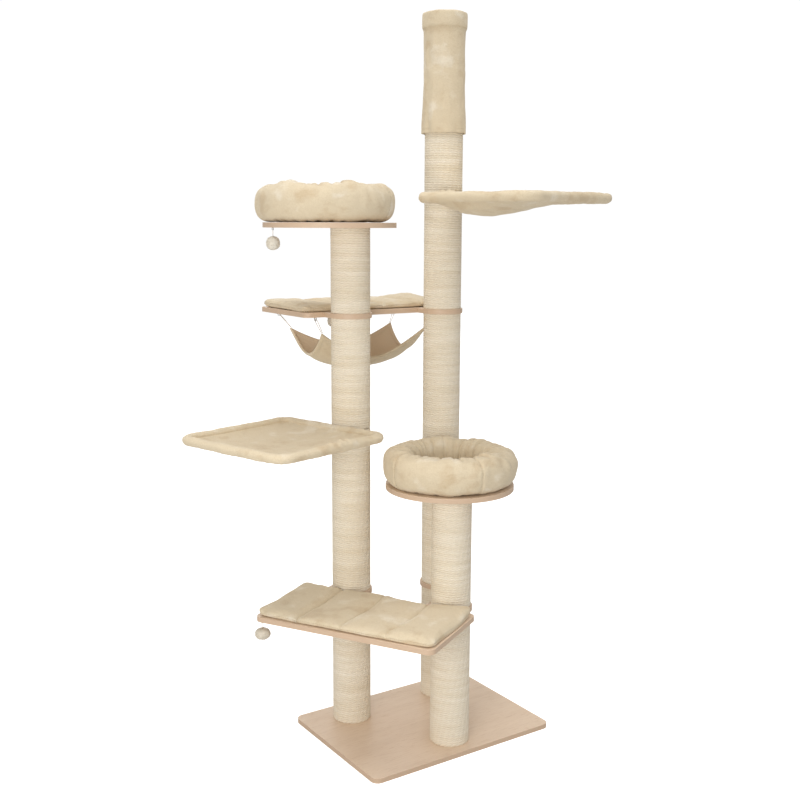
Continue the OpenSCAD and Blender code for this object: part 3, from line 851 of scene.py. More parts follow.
class Winding(Maker):
    """Rope wound tightly up a post."""

    name = "rope_winding"
    inputs = {"Foot": Kind.PLACE, "Rise": Kind.NUMBER, "Pitch": Kind.NUMBER, "Reach": Kind.NUMBER,
              "Rope": Kind.NUMBER, "Steps": Kind.COUNT, "Waver": Kind.NUMBER}

    def wire(self, graph: Graph, given: object) -> Socket:
        """Sweeps the rope's round section up a helix."""
        height = graph.maths("MULTIPLY_ADD", given["Pitch"], 2.0, given["Rise"])
        helix = graph.get("GeometryNodeCurveSpiral", {
            "Resolution": given["Steps"], "Rotations": graph.maths("DIVIDE", height, given["Pitch"]),
            "Start Radius": given["Reach"], "End Radius": given["Reach"], "Height": height})
        spot = graph.get("GeometryNodeInputPosition")
        axes = graph.add("ShaderNodeSeparateXYZ", {0: spot}).outputs
        level = graph.maths("MAXIMUM", graph.maths("SUBTRACT", axes[2], given["Pitch"]), 0.0)
        level = graph.maths("MINIMUM", level, given["Rise"])
        flat = graph.get("ShaderNodeCombineXYZ", {0: axes[0], 1: axes[1], 2: level})
        helix = graph.get("GeometryNodeSetPosition", {"Geometry": helix, "Position": flat})
        inputs = {"Vector": spot, "Scale": 16.0, "Detail": 1.0}
        cloud = graph.get("ShaderNodeTexNoise", inputs, output="Color")
        shift = graph.vector("MULTIPLY", graph.vector("SUBTRACT", cloud, (0.5, 0.5, 0.5)), given["Waver"])
        helix = graph.get("GeometryNodeSetPosition", {"Geometry": helix, "Offset": shift})
        length = graph.get("GeometryNodeSplineParameter", output="Length")
        helix = graph.get("GeometryNodeStoreNamedAttribute",
                          {"Geometry": helix, "Name": "along", "Value": length})
        helix = graph.get("GeometryNodeSetCurveNormal", {"Curve": helix}, mode="Z_UP")
        ring = graph.get("GeometryNodeCurvePrimitiveCircle", {"Resolution": 12, "Radius": given["Rope"]})
        ring = graph.get("GeometryNodeStoreNamedAttribute",
                         {"Geometry": ring, "Name": "girth", "Value": spot}, data_type="FLOAT_VECTOR")
        ring = graph.get("GeometryNodeTransform", {"Geometry": ring, "Scale": (0.74, 1.0, 1.0)})
        rope = graph.get("GeometryNodeCurveToMesh",
                         {"Curve": helix, "Profile Curve": ring, "Fill Caps": True})
        return graph.get("GeometryNodeTransform", {"Geometry": rope, "Translation": given["Foot"]})


class Stitches(Maker):
    """Short stitches in a row along the edges that go in."""

    name = "stitch_row"
    inputs = {"Spacing": Kind.NUMBER, "Length": Kind.NUMBER, "Thread": Kind.NUMBER}

    def wire(self, graph: Graph, given: object) -> Socket:
        """Lays one long bead at each step of the line."""
        line = graph.get("GeometryNodeMeshToCurve", {"Mesh": given["Geometry"]})
        line = graph.get("GeometryNodeResampleCurve",
                         {"Curve": line, "Length": given["Spacing"]}, mode="LENGTH")
        bead = graph.get("GeometryNodeMeshUVSphere", {"Segments": 6, "Rings": 4, "Radius": 0.5})
        size = graph.get("ShaderNodeCombineXYZ", {0: given["Thread"], 1: given["Thread"], 2: given["Length"]})
        bead = graph.get("GeometryNodeTransform", {"Geometry": bead, "Scale": size})
        facing = graph.get("FunctionNodeAlignRotationToVector",
                           {"Vector": graph.get("GeometryNodeInputTangent")}, axis="Z")
        return graph.get("GeometryNodeInstanceOnPoints",
                         {"Points": line, "Instance": bead, "Rotation": facing})


class Piping(Maker):
    """A thin round seam cord along the edges that go in."""

    name = "seam_piping"
    inputs = {"Thread": Kind.NUMBER}

    def wire(self, graph: Graph, given: object) -> Socket:
        """Sweeps a small circle along the line."""
        line = graph.get("GeometryNodeMeshToCurve", {"Mesh": given["Geometry"]})
        ring = graph.get("GeometryNodeCurvePrimitiveCircle", {"Resolution": 8, "Radius": given["Thread"]})
        return graph.get("GeometryNodeCurveToMesh", {"Curve": line, "Profile Curve": ring, "Fill Caps": True})


class Fuzz(Maker):
    """Tufts of pile that stand on the surface that goes in."""

    name = "pile_tufts"
    inputs = {"Density": Kind.NUMBER, "Tuft": Kind.NUMBER, "Seed": Kind.COUNT}

    def wire(self, graph: Graph, given: object) -> Socket:
        """Scatters slim cones over the surface and joins them to it."""
        scatter = graph.add("GeometryNodeDistributePointsOnFaces", {
            "Mesh": given["Geometry"], "Density": given["Density"], "Seed": given["Seed"]})
        slim = graph.maths("MULTIPLY", given["Tuft"], 0.3)
        cone = graph.get("GeometryNodeMeshCone", {
            "Vertices": 4, "Radius Top": 0.0, "Radius Bottom": slim, "Depth": given["Tuft"]})
        inputs = {"Min": (-0.45,) * 3, "Max": (0.45,) * 3, "Seed": given["Seed"]}
        lean = graph.get("FunctionNodeRandomValue", inputs, data_type="FLOAT_VECTOR")
        size = graph.get("FunctionNodeRandomValue", {2: 0.6, 3: 1.3, "Seed": given["Seed"]},
                         output=1, data_type="FLOAT")
        turned = graph.get("FunctionNodeRotateRotation", {0: scatter.outputs["Rotation"],
                           1: graph.get("FunctionNodeEulerToRotation", {0: lean})}, rotation_space="LOCAL")
        tufts = graph.get("GeometryNodeInstanceOnPoints", {
            "Points": scatter.outputs["Points"], "Instance": cone, "Rotation": turned, "Scale": size})
        join = graph.add("GeometryNodeJoinGeometry")
        graph.tree.links.new(tufts, join.inputs[0])
        graph.tree.links.new(given["Geometry"], join.inputs[0])
        return join.outputs[0]


class Workshop:
    """The makers that every part of the tree shares."""

    def __init__(self) -> None:
        """Makes each tree once."""
        self.winding = Winding()
        self.stitches = Stitches()
        self.piping = Piping()
        self.fuzz = Fuzz()

    @staticmethod
    def line(name: str, points: np.ndarray, closed: bool) -> bpy.types.Object:
        """Makes an object of edges through points, for a maker to work on."""
        edges = [(i, i + 1) for i in range(len(points) - 1)] + ([(len(points) - 1, 0)] if closed else [])
        mesh = bpy.data.meshes.new(name)
        mesh.from_pydata(points.tolist(), edges, [])
        piece = bpy.data.objects.new(name, mesh)
        bpy.context.scene.collection.objects.link(piece)
        return piece

    def sew(self, name: str, points: np.ndarray, closed: bool = True,
            spacing: float = 7 * MM) -> bpy.types.Object:
        """Makes a row of stitches along points."""
        row = self.line(name, points, closed)
        return self.stitches.run(row, THREAD, Spacing=spacing, Length=0.62 * spacing, Thread=1.1 * MM)

    def pipe(self, name: str, points: np.ndarray, thread: float = 1.3 * MM, closed: bool = True,
             finish: Finish = PLUSH) -> bpy.types.Object:
        """Makes a seam cord along points."""
        return self.piping.run(self.line(name, points, closed), finish, Thread=thread)


# ---------------------------------------------------------------- posts and boards


@dataclass
class Posts:
    """The wound rope of the three posts and the bare pieces inside them."""

    shop: Workshop
    rope: float = 8 * MM
    steps: int = 40
    sections: tuple[tuple[str, int], ...] = (("left", 4), ("front", 2), ("rear", 5))

    def wind(self, node: str) -> None:
        """Winds one section.

        Args:
            node: the section's CAD node.
        """
        low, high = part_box(node)
        reach = (high.x - low.x) / 2 - self.rope / 2
        rise = high.z - low.z - self.rope
        blank = self.shop.line(node.replace("rope", "winding"), np.zeros((2, 3)), False)
        foot = ((low.x + high.x) / 2, (low.y + high.y) / 2, low.z + self.rope / 2)
        rope = self.shop.winding.run(blank, SISAL, Foot=foot, Rise=rise, Pitch=self.rope,
                                     Reach=reach, Rope=0.68 * self.rope, Steps=self.steps, Waver=0.8 * MM)
        dress(rope, "frame", SISAL, node)

    def build(self) -> None:
        """Winds every section and dresses the cores, plugs and studs."""
        for post, count in self.sections:
            for number in range(1, count + 1):
                self.wind(f"{post}_rope_{number}")
            refinish(f"{post}_cores", CARD)
            refinish(f"{post}_plugs", RAW_WOOD)
            refinish(f"{post}_studs", ZINC)


def refinish(node: str, finish: Finish) -> None:
    """Gives a carried-over CAD node its finish."""
    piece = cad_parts[node]
    for slot in piece.material_slots:
        slot.link, slot.material = "OBJECT", finish.material()


@dataclass
class Boards:
    """The foil-covered boards, with their edges eased."""

    ease: float = 1.2 * MM
    turns: tuple[tuple[str, float], ...] = (
        ("base_plate", 0.0), ("spacer_disc", 20.0), ("lower_shelf", -120.0), ("middle_shelf", 0.0),
        ("top_round_board", -25.0), ("front_round_board", -60.0))

    def soften(self, node: str, name: str, finish: Finish) -> bpy.types.Object:
        """Copies a CAD node and rounds its sharp edges.

        Args:
            node: the CAD node.
            name: the new piece's name.
            finish: what it is made of.

        Returns:
            The new piece.
        """
        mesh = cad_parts[node].data.copy()
        work = bmesh.new()
        work.from_mesh(mesh)
        bmesh.ops.remove_doubles(work, verts=work.verts, dist=1e-5)
        bmesh.ops.dissolve_limit(work, angle_limit=math.radians(0.5), verts=work.verts, edges=work.edges)
        sharp = [e for e in work.edges if len(e.link_faces) == 2 and e.calc_face_angle(0) > math.radians(40)]
        bmesh.ops.bevel(work, geom=sharp, offset=self.ease, segments=3, profile=0.6, affect="EDGES",
                        clamp_overlap=True)
        bmesh.ops.triangulate(work, faces=[f for f in work.faces if len(f.verts) > 4])
        work.to_mesh(mesh)
        work.free()
        for layer in list(mesh.uv_layers):
            mesh.uv_layers.remove(layer)
        mesh.name = name
        piece = wrap(name, mesh, finish)
        piece.modifiers.new("flats", "WEIGHTED_NORMAL").keep_sharp = True
        bake(piece)
        return piece

    def build(self) -> None:
        """Dresses every board."""
        for node, turn in self.turns:
            finish = Foil(f"beech_foil_{node}", "board", math.radians(turn))
            dress(self.soften(node, f"{node}_foiled", finish), "frame", finish, node)
        for node in ("base_bolts", "round_board_bolts", "hammock_hooks", "toy_eyes", "tension_insert"):
            refinish(node, ZINC)


# ---------------------------------------------------------------- pads and beds


@dataclass
class Pad:
    """A quilted pad that lies on a shelf."""

    shop: Workshop
    node: str
    turn: float
    seed: int
    curl: tuple[float, float] = (-1.0, -1.0)
    width: float = 622 * MM
    depth: float = 314 * MM
    thickness: float = 23 * MM
    corner: float = 25 * MM
    channels: int = 3
    cell: float = 6 * MM

    def __post_init__(self) -> None:
        """Finds the pad's place on its shelf."""
        low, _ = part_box(self.node)
        centre = middle(self.node)
        self.centre = (centre.x, centre.y, low.z)

    def slab(self) -> bpy.types.Object:
        """The pad's plain shape, a little smaller than the filled one."""
        t = self.thickness
        steps = ((0, 0.0, 0.4), (20, 0.0, 1.0), (8, 0.04, 1.0), (3, 0.18, 1.0), (1, 0.4, 1.0),
                 (1, 0.58, 1.0), (4, 0.78, 1.0), (12, 0.9, 1.0), (26, 0.94, 1.0), (0, 0.94, 0.4))
        rings = []
        for inset, level, share in steps:
            inset *= MM
            corner = max(self.corner - inset, 8 * MM)
            outline, _ = rounded_outline(self.width / 2 - inset, self.depth / 2 - inset, corner, 160)
            outline = outline * share
            outline[:, 2] = level * t
            rings.append(outline)
        piece = loft(self.name, np.array(rings), PLUSH)
        remesh(piece, self.cell)
        return piece

    @property
    def name(self) -> str:
        """The pad's name as a finished piece."""
        return f"{self.node}_quilt"

    def channel_distance(self, points: np.ndarray) -> np.ndarray:
        """How far points are from the nearest sewn channel, wandering a little as the fabric does."""
        lines = [(i + 1) / (self.channels + 1) * self.width - self.width / 2 for i in range(self.channels)]
        wander = 4 * MM * np.sin(points[:, 1] / 0.05 + self.seed)
        return np.min([np.abs(points[:, 0] + wander - x) for x in lines], axis=0)

    def build(self) -> None:
        """Fills, quilts, seams and dresses the pad."""
        piece = self.slab()
        points = read(piece)
        top = points[:, 2] > self.thickness * 0.5
        channel = self.channel_distance(points)
        points[:, 2] -= 5 * MM * dent(channel, 9 * MM) * top
        write_points(piece, points)
        held = ((channel < 5 * MM) & top) | (points[:, 2] < 1 * MM)
        Drape(pressure=4.0, cap=5 * MM, bending=0.3).let_go(piece, held.astype(float))
        subdivide(piece)
        points, normal = read(piece), read(piece, "normal")
        up = smooth_step(-0.2, 0.6, normal[:, 2])
        broad, fine = Ripples(self.seed, 0.23), Ripples(self.seed + 1, 0.05)
        rumple = Ripples(self.seed + 2, 0.024)
        creased = points * (1.0, 0.45, 1.0)
        near = dent(self.channel_distance(points), 26 * MM)
        lift = 2.6 * MM * broad.at(points) + (0.9 + 1.1 * near) * MM * fine.at(creased) * up
        lift += 0.7 * MM * near * rumple.at(creased) * up
        lift -= 4.2 * MM * dent(self.channel_distance(points), 2.0 * MM) * up
        edge = np.maximum(np.abs(points[:, 0]) / self.width, np.abs(points[:, 1]) / self.depth) * 2
        lift *= 0.5 + 0.5 * up
        points[:, 2] += lift
        points[:, :2] += normal[:, :2] * (1.6 * MM * fine.at(points * 0.7))[:, None]
        corner = dent(np.hypot(points[:, 0] - self.curl[0] * self.width / 2,
                               points[:, 1] - self.curl[1] * self.depth / 2), 0.085)
        points[:, 2] += 9 * MM * corner * smooth_step(0.0, 0.012, points[:, 2])
        seam = dent(points[:, 2] - (0.46 * self.thickness + 2 * MM * broad.at(points)), 1.8 * MM)
        points -= normal * (1.5 * MM * seam * smooth_step(0.9, 1.0, edge))[:, None]
        points[:, 2] = np.maximum(points[:, 2], 0)
        write_points(piece, place(points, self.centre, self.turn))
        outline, _ = rounded_outline(self.width / 2, self.depth / 2, self.corner, 240)
        outline[:, 2] = 0.46 * self.thickness
        outline[:, 2] += 2 * MM * broad.at(outline)
        seam_line = on_surface(piece, place(outline, self.centre, self.turn), 0.3 * MM)
        stitches = self.shop.sew(f"{self.node}_stitches", seam_line)
        dress(piece, self.node, PLUSH, self.node)
        dress(stitches, self.node, THREAD)


@dataclass
class Bed:
    """A round bed: a stuffed ring and a loose cushion in it."""

    shop: Workshop
    body: str
    seed: int
    humps: tuple[tuple[float, float], ...]
    outer: float = 219 * MM
    ring_half: float = 54 * MM
    low_half: float = 56 * MM
    height: float = 113 * MM
    gathers: int = 29
    cushion_r: float = 108 * MM
    cushion_t: float = 36 * MM
    cell: float = 6 * MM
    seams: tuple[float, ...] = (35.0, 107.0, 179.0, 262.0, 323.0)

    def __post_init__(self) -> None:
        """Finds the bed's place on its board."""
        low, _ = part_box(f"{self.body}_ring")
        centre = middle(f"{self.body}_ring")
        self.centre = (centre.x, centre.y, low.z)

    def crest(self, turn: np.ndarray) -> np.ndarray:
        """The height of the ring's top in each direction, in radians."""
        rise = np.zeros_like(turn)
        for direction, extra in self.humps:
            rise += extra * MM * dent(apart(turn, math.radians(direction)), math.radians(15))
        return self.height + rise

    def ring_base(self) -> bpy.types.Object:
        """The ring's plain shape."""
        around, section = 160, 40
        turn = np.arange(around) / around * TURN
        angle = np.arange(section) / section * TURN
        cos, sin = np.cos(angle), np.sin(angle)
        wide = np.sign(cos) * np.abs(cos) ** 0.8
        tall = np.sign(sin) * np.abs(sin) ** 0.85
        radius = self.outer - self.ring_half + self.ring_half * wide
        top = self.crest(turn)[:, None] - self.low_half
        z = self.low_half + np.where(tall > 0, top * tall, self.low_half * tall)
        rings = np.stack([radius * np.cos(turn)[:, None], radius * np.sin(turn)[:, None], z], axis=2)
        return loft(f"{self.body}_ring_plush", rings, PLUSH, closed=True)

    def pleats(self, points: np.ndarray, normal: np.ndarray) -> np.ndarray:
        """How deep the gathers on the ring's inner side press in at some points."""
        draw = np.random.default_rng(self.seed)
        turn, radius = polar(points)
        outward = (normal[:, 0] * points[:, 0] + normal[:, 1] * points[:, 1]) / np.maximum(radius, 1e-6)
        inner = smooth_step(-0.7, 0.25, -outward)
        depth = np.zeros(len(points))
        for index in range(self.gathers):
            direction = (index + draw.uniform(-0.35, 0.35)) / self.gathers * TURN
            sway = draw.uniform(-1.2, 1.2) * (radius - self.outer + self.ring_half)
            off = apart(turn, direction + sway)
            depth += draw.uniform(3.5, 9.5) * MM * dent(off, math.radians(draw.uniform(1.6, 2.9)))
        return depth * inner

    def seam_distance(self, points: np.ndarray) -> np.ndarray:
        """How far some points are from the nearest panel seam."""
        turn, radius = polar(points)
        return np.min([np.abs(apart(turn, math.radians(seam))) for seam in self.seams], axis=0) * radius

    def ring(self) -> None:
        """Fills, gathers and dresses the ring."""
        piece = self.ring_base()
        remesh(piece, self.cell)
        points = read(piece)
        _, radius = polar(points)
        off = self.seam_distance(points)
        held = (points[:, 2] < 2 * MM) | (off < 4 * MM) & (radius > self.outer - self.ring_half)
        Drape(pressure=5.0, cap=7 * MM, bending=0.2).let_go(piece, held.astype(float))
        subdivide(piece)
        points, normal = read(piece), read(piece, "normal")
        _, radius = polar(points)
        broad, fine = Ripples(self.seed, 0.12), Ripples(self.seed + 1, 0.045)
        off = self.seam_distance(points)
        upward = smooth_step(-0.5, 0.4, normal[:, 2])
        move = 2.4 * MM * broad.at(points) + 1.5 * MM * fine.at(points * (1, 1, 0.5)) * upward
        move -= self.pleats(points, normal)
        outside = smooth_step(self.outer - self.ring_half, self.outer - 10 * MM, radius)
        move -= 2.6 * MM * dent(off, 5 * MM) * outside
        puckers = Ripples(self.seed + 2, 0.03).folds(points * (1, 1, 0.4))
        move -= 1.2 * MM * puckers * dent(off, 30 * MM) * outside
        points += normal * move[:, None]
        points[:, 2] = np.maximum(points[:, 2], 0)
        write_points(piece, place(points, self.centre))
        dress(piece, self.body, PLUSH, f"{self.body}_ring")
        self.ring_stitches(piece)

    def ring_stitches(self, piece: bpy.types.Object) -> None:
        """Sews the ring's panel seams.

        Args:
            piece: the finished ring.
        """
        levels = np.linspace(-0.75, 1.2, 26)
        rows = []
        for seam in self.seams:
            turn = math.radians(seam)
            radius = self.outer - self.ring_half + self.ring_half * np.cos(levels)
            z = self.low_half + self.low_half * np.sin(levels)
            line = np.stack([radius * math.cos(turn), radius * math.sin(turn), z], axis=1)
            rows.append(on_surface(piece, place(line, self.centre), 0.2 * MM))
        for number, row in enumerate(rows, 1):
            stitches = self.shop.sew(f"{self.body}_seam_{number}", row, closed=False)
            dress(stitches, self.body, THREAD)

    def cushion(self) -> None:
        """Fills, gathers and dresses the loose cushion."""
        levels = ((0.25, 0.0), (0.7, 0.0), (0.9, 0.06), (0.985, 0.28), (1.0, 0.5), (0.97, 0.74), (0.86, 0.94),
                  (0.6, 1.0), (0.25, 1.0))
        turn = np.arange(72) / 72 * TURN
        flat = np.stack([np.cos(turn), np.sin(turn), np.zeros(72)], axis=1)
        rings = [flat * (share * (self.cushion_r - 3 * MM)) + (0, 0, level * (self.cushion_t - 5 * MM))
                 for share, level in levels]
        piece = loft(f"{self.body}_cushion_plush", np.array(rings), PLUSH)
        remesh(piece, self.cell * 0.8)
        points = read(piece)
        rim = np.hypot(points[:, 0], points[:, 1]) > self.cushion_r - 5 * MM
        held = (points[:, 2] < 1 * MM) | rim
        Drape(pressure=5.0, cap=7 * MM, bending=0.2).let_go(piece, held.astype(float))
        subdivide(piece)
        points, normal = read(piece), read(piece, "normal")
        turn, radius = polar(points)
        share = radius / self.cushion_r
        gather = np.sin(turn * 31 + 3 * np.sin(turn * 3 + self.seed))
        gather *= smooth_step(0.55, 0.95, share) * smooth_step(1.01, 0.9, share)
        ripple = Ripples(self.seed + 5, 0.06)
        points += normal * (1.1 * MM * gather + 1.5 * MM * ripple.at(points))[:, None]
        points[:, 2] = np.clip(points[:, 2], 0, self.cushion_t + 3 * MM)
        write_points(piece, place(points, self.centre))
        dress(piece, self.body, PLUSH, f"{self.body}_cushion")
        turn = np.arange(150) / 150 * TURN
        outline = np.stack([np.cos(turn), np.sin(turn), np.full(150, 0.5)], axis=1)
        outline *= (self.cushion_r, self.cushion_r, self.cushion_t)
        seam = on_surface(piece, place(outline, self.centre), 0.3 * MM)
        dress(self.shop.pipe(f"{self.body}_cushion_piping", seam), self.body, PLUSH)

    def build(self) -> None:
        """Builds the ring and its cushion."""
        self.ring()
        self.cushion()


# ---------------------------------------------------------------- slings


@dataclass
class Sling:
    """A square steel tube in a padded plush cover that sags between its sides."""

    shop: Workshop
    side: str
    post: str
    seed: int
    bunch: float
    sag: float
    skew: float = 0.0
    crown: float = 17 * MM
    half: float = 221 * MM
    corner: float = 42 * MM
    rim: float = 17.2 * MM
    cloth: float = 6 * MM
    cells: int = 76

    def __post_init__(self) -> None:
        """Finds the sling's middle and its direction from its post."""
        self.body = f"{self.side}_sling"
        centre = middle(f"{self.body}_cover")
        tube_middle = middle(f"{self.body}_frame")
        post = middle(self.post)
        self.centre = (centre.x, centre.y, tube_middle.z)
        self.turn = math.atan2(centre.y - post.y, centre.x - post.x)

    def edge(self) -> None:
        """Makes the padded rim round the tube."""
        around, section = 420, 26
        line, outward = rounded_outline(self.half, self.half, self.corner, around)
        angle = np.arange(section) / section * TURN
        rings = []
        coarse, fine = Ripples(self.seed, 0.11), Ripples(self.seed + 1, 0.03)
        swell = 0.5 * MM * coarse.at(line) + 0.4 * MM * fine.at(line)
        bunched = dent(apart(polar(line)[0], math.radians(self.bunch)), math.radians(17))
        for i in range(around):
            radius = self.rim + swell[i] + np.zeros(section)
            radius += 9 * MM * bunched[i] * np.clip(np.sin(angle), 0, 1) ** 2
            facing = np.cos(angle)[:, None] * outward[i] + np.sin(angle)[:, None] * (0, 0, 1)
            flat = radius[:, None] * facing
            flat[:, 2] *= np.where(flat[:, 2] > 0, self.crown / self.rim, 1.0)
            rings.append(line[i] + flat)
        piece = loft(f"{self.body}_rim", np.array(rings), PLUSH, closed=True)
        points, normal = read(piece), read(piece, "normal")
        slant = points @ np.array([[1.0, 0, 0], [0, 1.0, 0], [0.5, 0.5, 1.0]])
        move = 0.7 * MM * Ripples(self.seed + 2, 0.07).at(slant)
        move -= 0.8 * MM * Ripples(self.seed + 3, 0.09).folds(slant)
        crowd = dent(np.hypot(np.abs(points[:, 0]) - self.half, np.abs(points[:, 1]) - self.half), 0.05)
        move -= 1.6 * MM * crowd * Ripples(self.seed + 4, 0.02).folds(points)
        bunched = dent(apart(polar(points)[0], math.radians(self.bunch)), math.radians(15))
        move += 3.4 * MM * bunched * Ripples(self.seed + 6, 0.018).at(points) * (points[:, 2] > 0)
        points += normal * move[:, None]
        write_points(piece, place(points, self.centre, self.turn))
        dress(piece, self.body, PLUSH, f"{self.body}_cover")

    def fall(self, across: np.ndarray) -> np.ndarray:
        """How far the sheet has fallen across its width, as a share of its sag."""
        shape = (1 - across**2) * (1 - self.skew * across)
        return shape / shape.max()

    def hollow(self) -> None:
        """Makes the sagging sheet between the rim's sides and its seam."""
        n = self.cells
        u, v = np.meshgrid(np.linspace(-1, 1, n), np.linspace(-1, 1, n), indexing="ij")
        inner = self.half - 4 * MM
        corner = (self.corner + 10 * MM) / inner
        size = np.maximum(np.abs(u), np.abs(v))
        least = np.minimum(np.abs(u), np.abs(v)) / np.maximum(size, 1e-9)
        over = np.clip((least - (1 - corner)) / corner, 0, 1)
        cut = 1 - (1 - 1 / math.sqrt(2)) * corner * over**2 * 0.9
        scale = 1 + (cut - 1) * size**3
        x, y = u * scale * inner, v * scale * inner
        grid = np.stack([x, y, self.fall(u) * self.fall(v) * -self.sag], axis=2)
        flat = grid.reshape(-1, 3)
        cloth = make(f"{self.body}_cloth", flat, grid_faces(n, n), PLUSH)
        rumple = Ripples(self.seed + 7, 0.05)
        points = flat + np.outer(1.2 * MM * rumple.at(flat) * (1 - size.ravel() ** 4), (0, 0, 1))
        write_points(cloth, points)
        held = (size.ravel() > 1 - 2.5 / n).astype(float)
        Drape(frames=24, gravity=0.6, cap=5 * MM, spare=0.02, bending=0.05).let_go(cloth, held)
        grid = read(cloth).reshape(n, n, 3)
        bpy.data.objects.remove(cloth)
        crease = Ripples(self.seed + 8, 0.04)
        drawn = grid.reshape(-1, 3) * (0.35, 1.0, 1.0)
        fade = (1 - size.ravel() ** 6) * (0.35 + 0.65 * size.ravel())
        grid[..., 2] += (1.6 * MM * crease.at(drawn) * fade).reshape(n, n)
        turn = math.radians(self.bunch)
        gathered = 0.8 * inner * np.array([math.cos(turn), math.sin(turn)])
        near = dent(np.linalg.norm(flat[:, :2] - gathered, axis=1), 60 * MM) * (1 - size.ravel() ** 10)
        grid[..., 2] += (4.0 * MM * near * (0.6 + Ripples(self.seed + 9, 0.026).at(flat))).reshape(n, n)
        piece = sheet_shell(f"{self.body}_hollow", grid, np.full((n, n), self.cloth), PLUSH)
        subdivide(piece)
        write_points(piece, place(read(piece), self.centre, self.turn))
        dress(piece, self.body, PLUSH)
        ring, _ = rounded_outline(inner - 10 * MM, inner - 10 * MM, self.corner, 300)
        ring[:, 2] = 3 * MM
        seam = on_surface(piece, place(ring, self.centre, self.turn), 0.2 * MM)
        dress(self.shop.sew(f"{self.body}_stitches", seam), self.body, THREAD)

    def build(self) -> None:
        """Builds the cover and dresses the steel."""
        self.edge()
        self.hollow()
        refinish(f"{self.body}_frame", COATED)
        refinish(f"{self.body}_bracket", COATED)


# ---------------------------------------------------------------- cords, hammock and toys


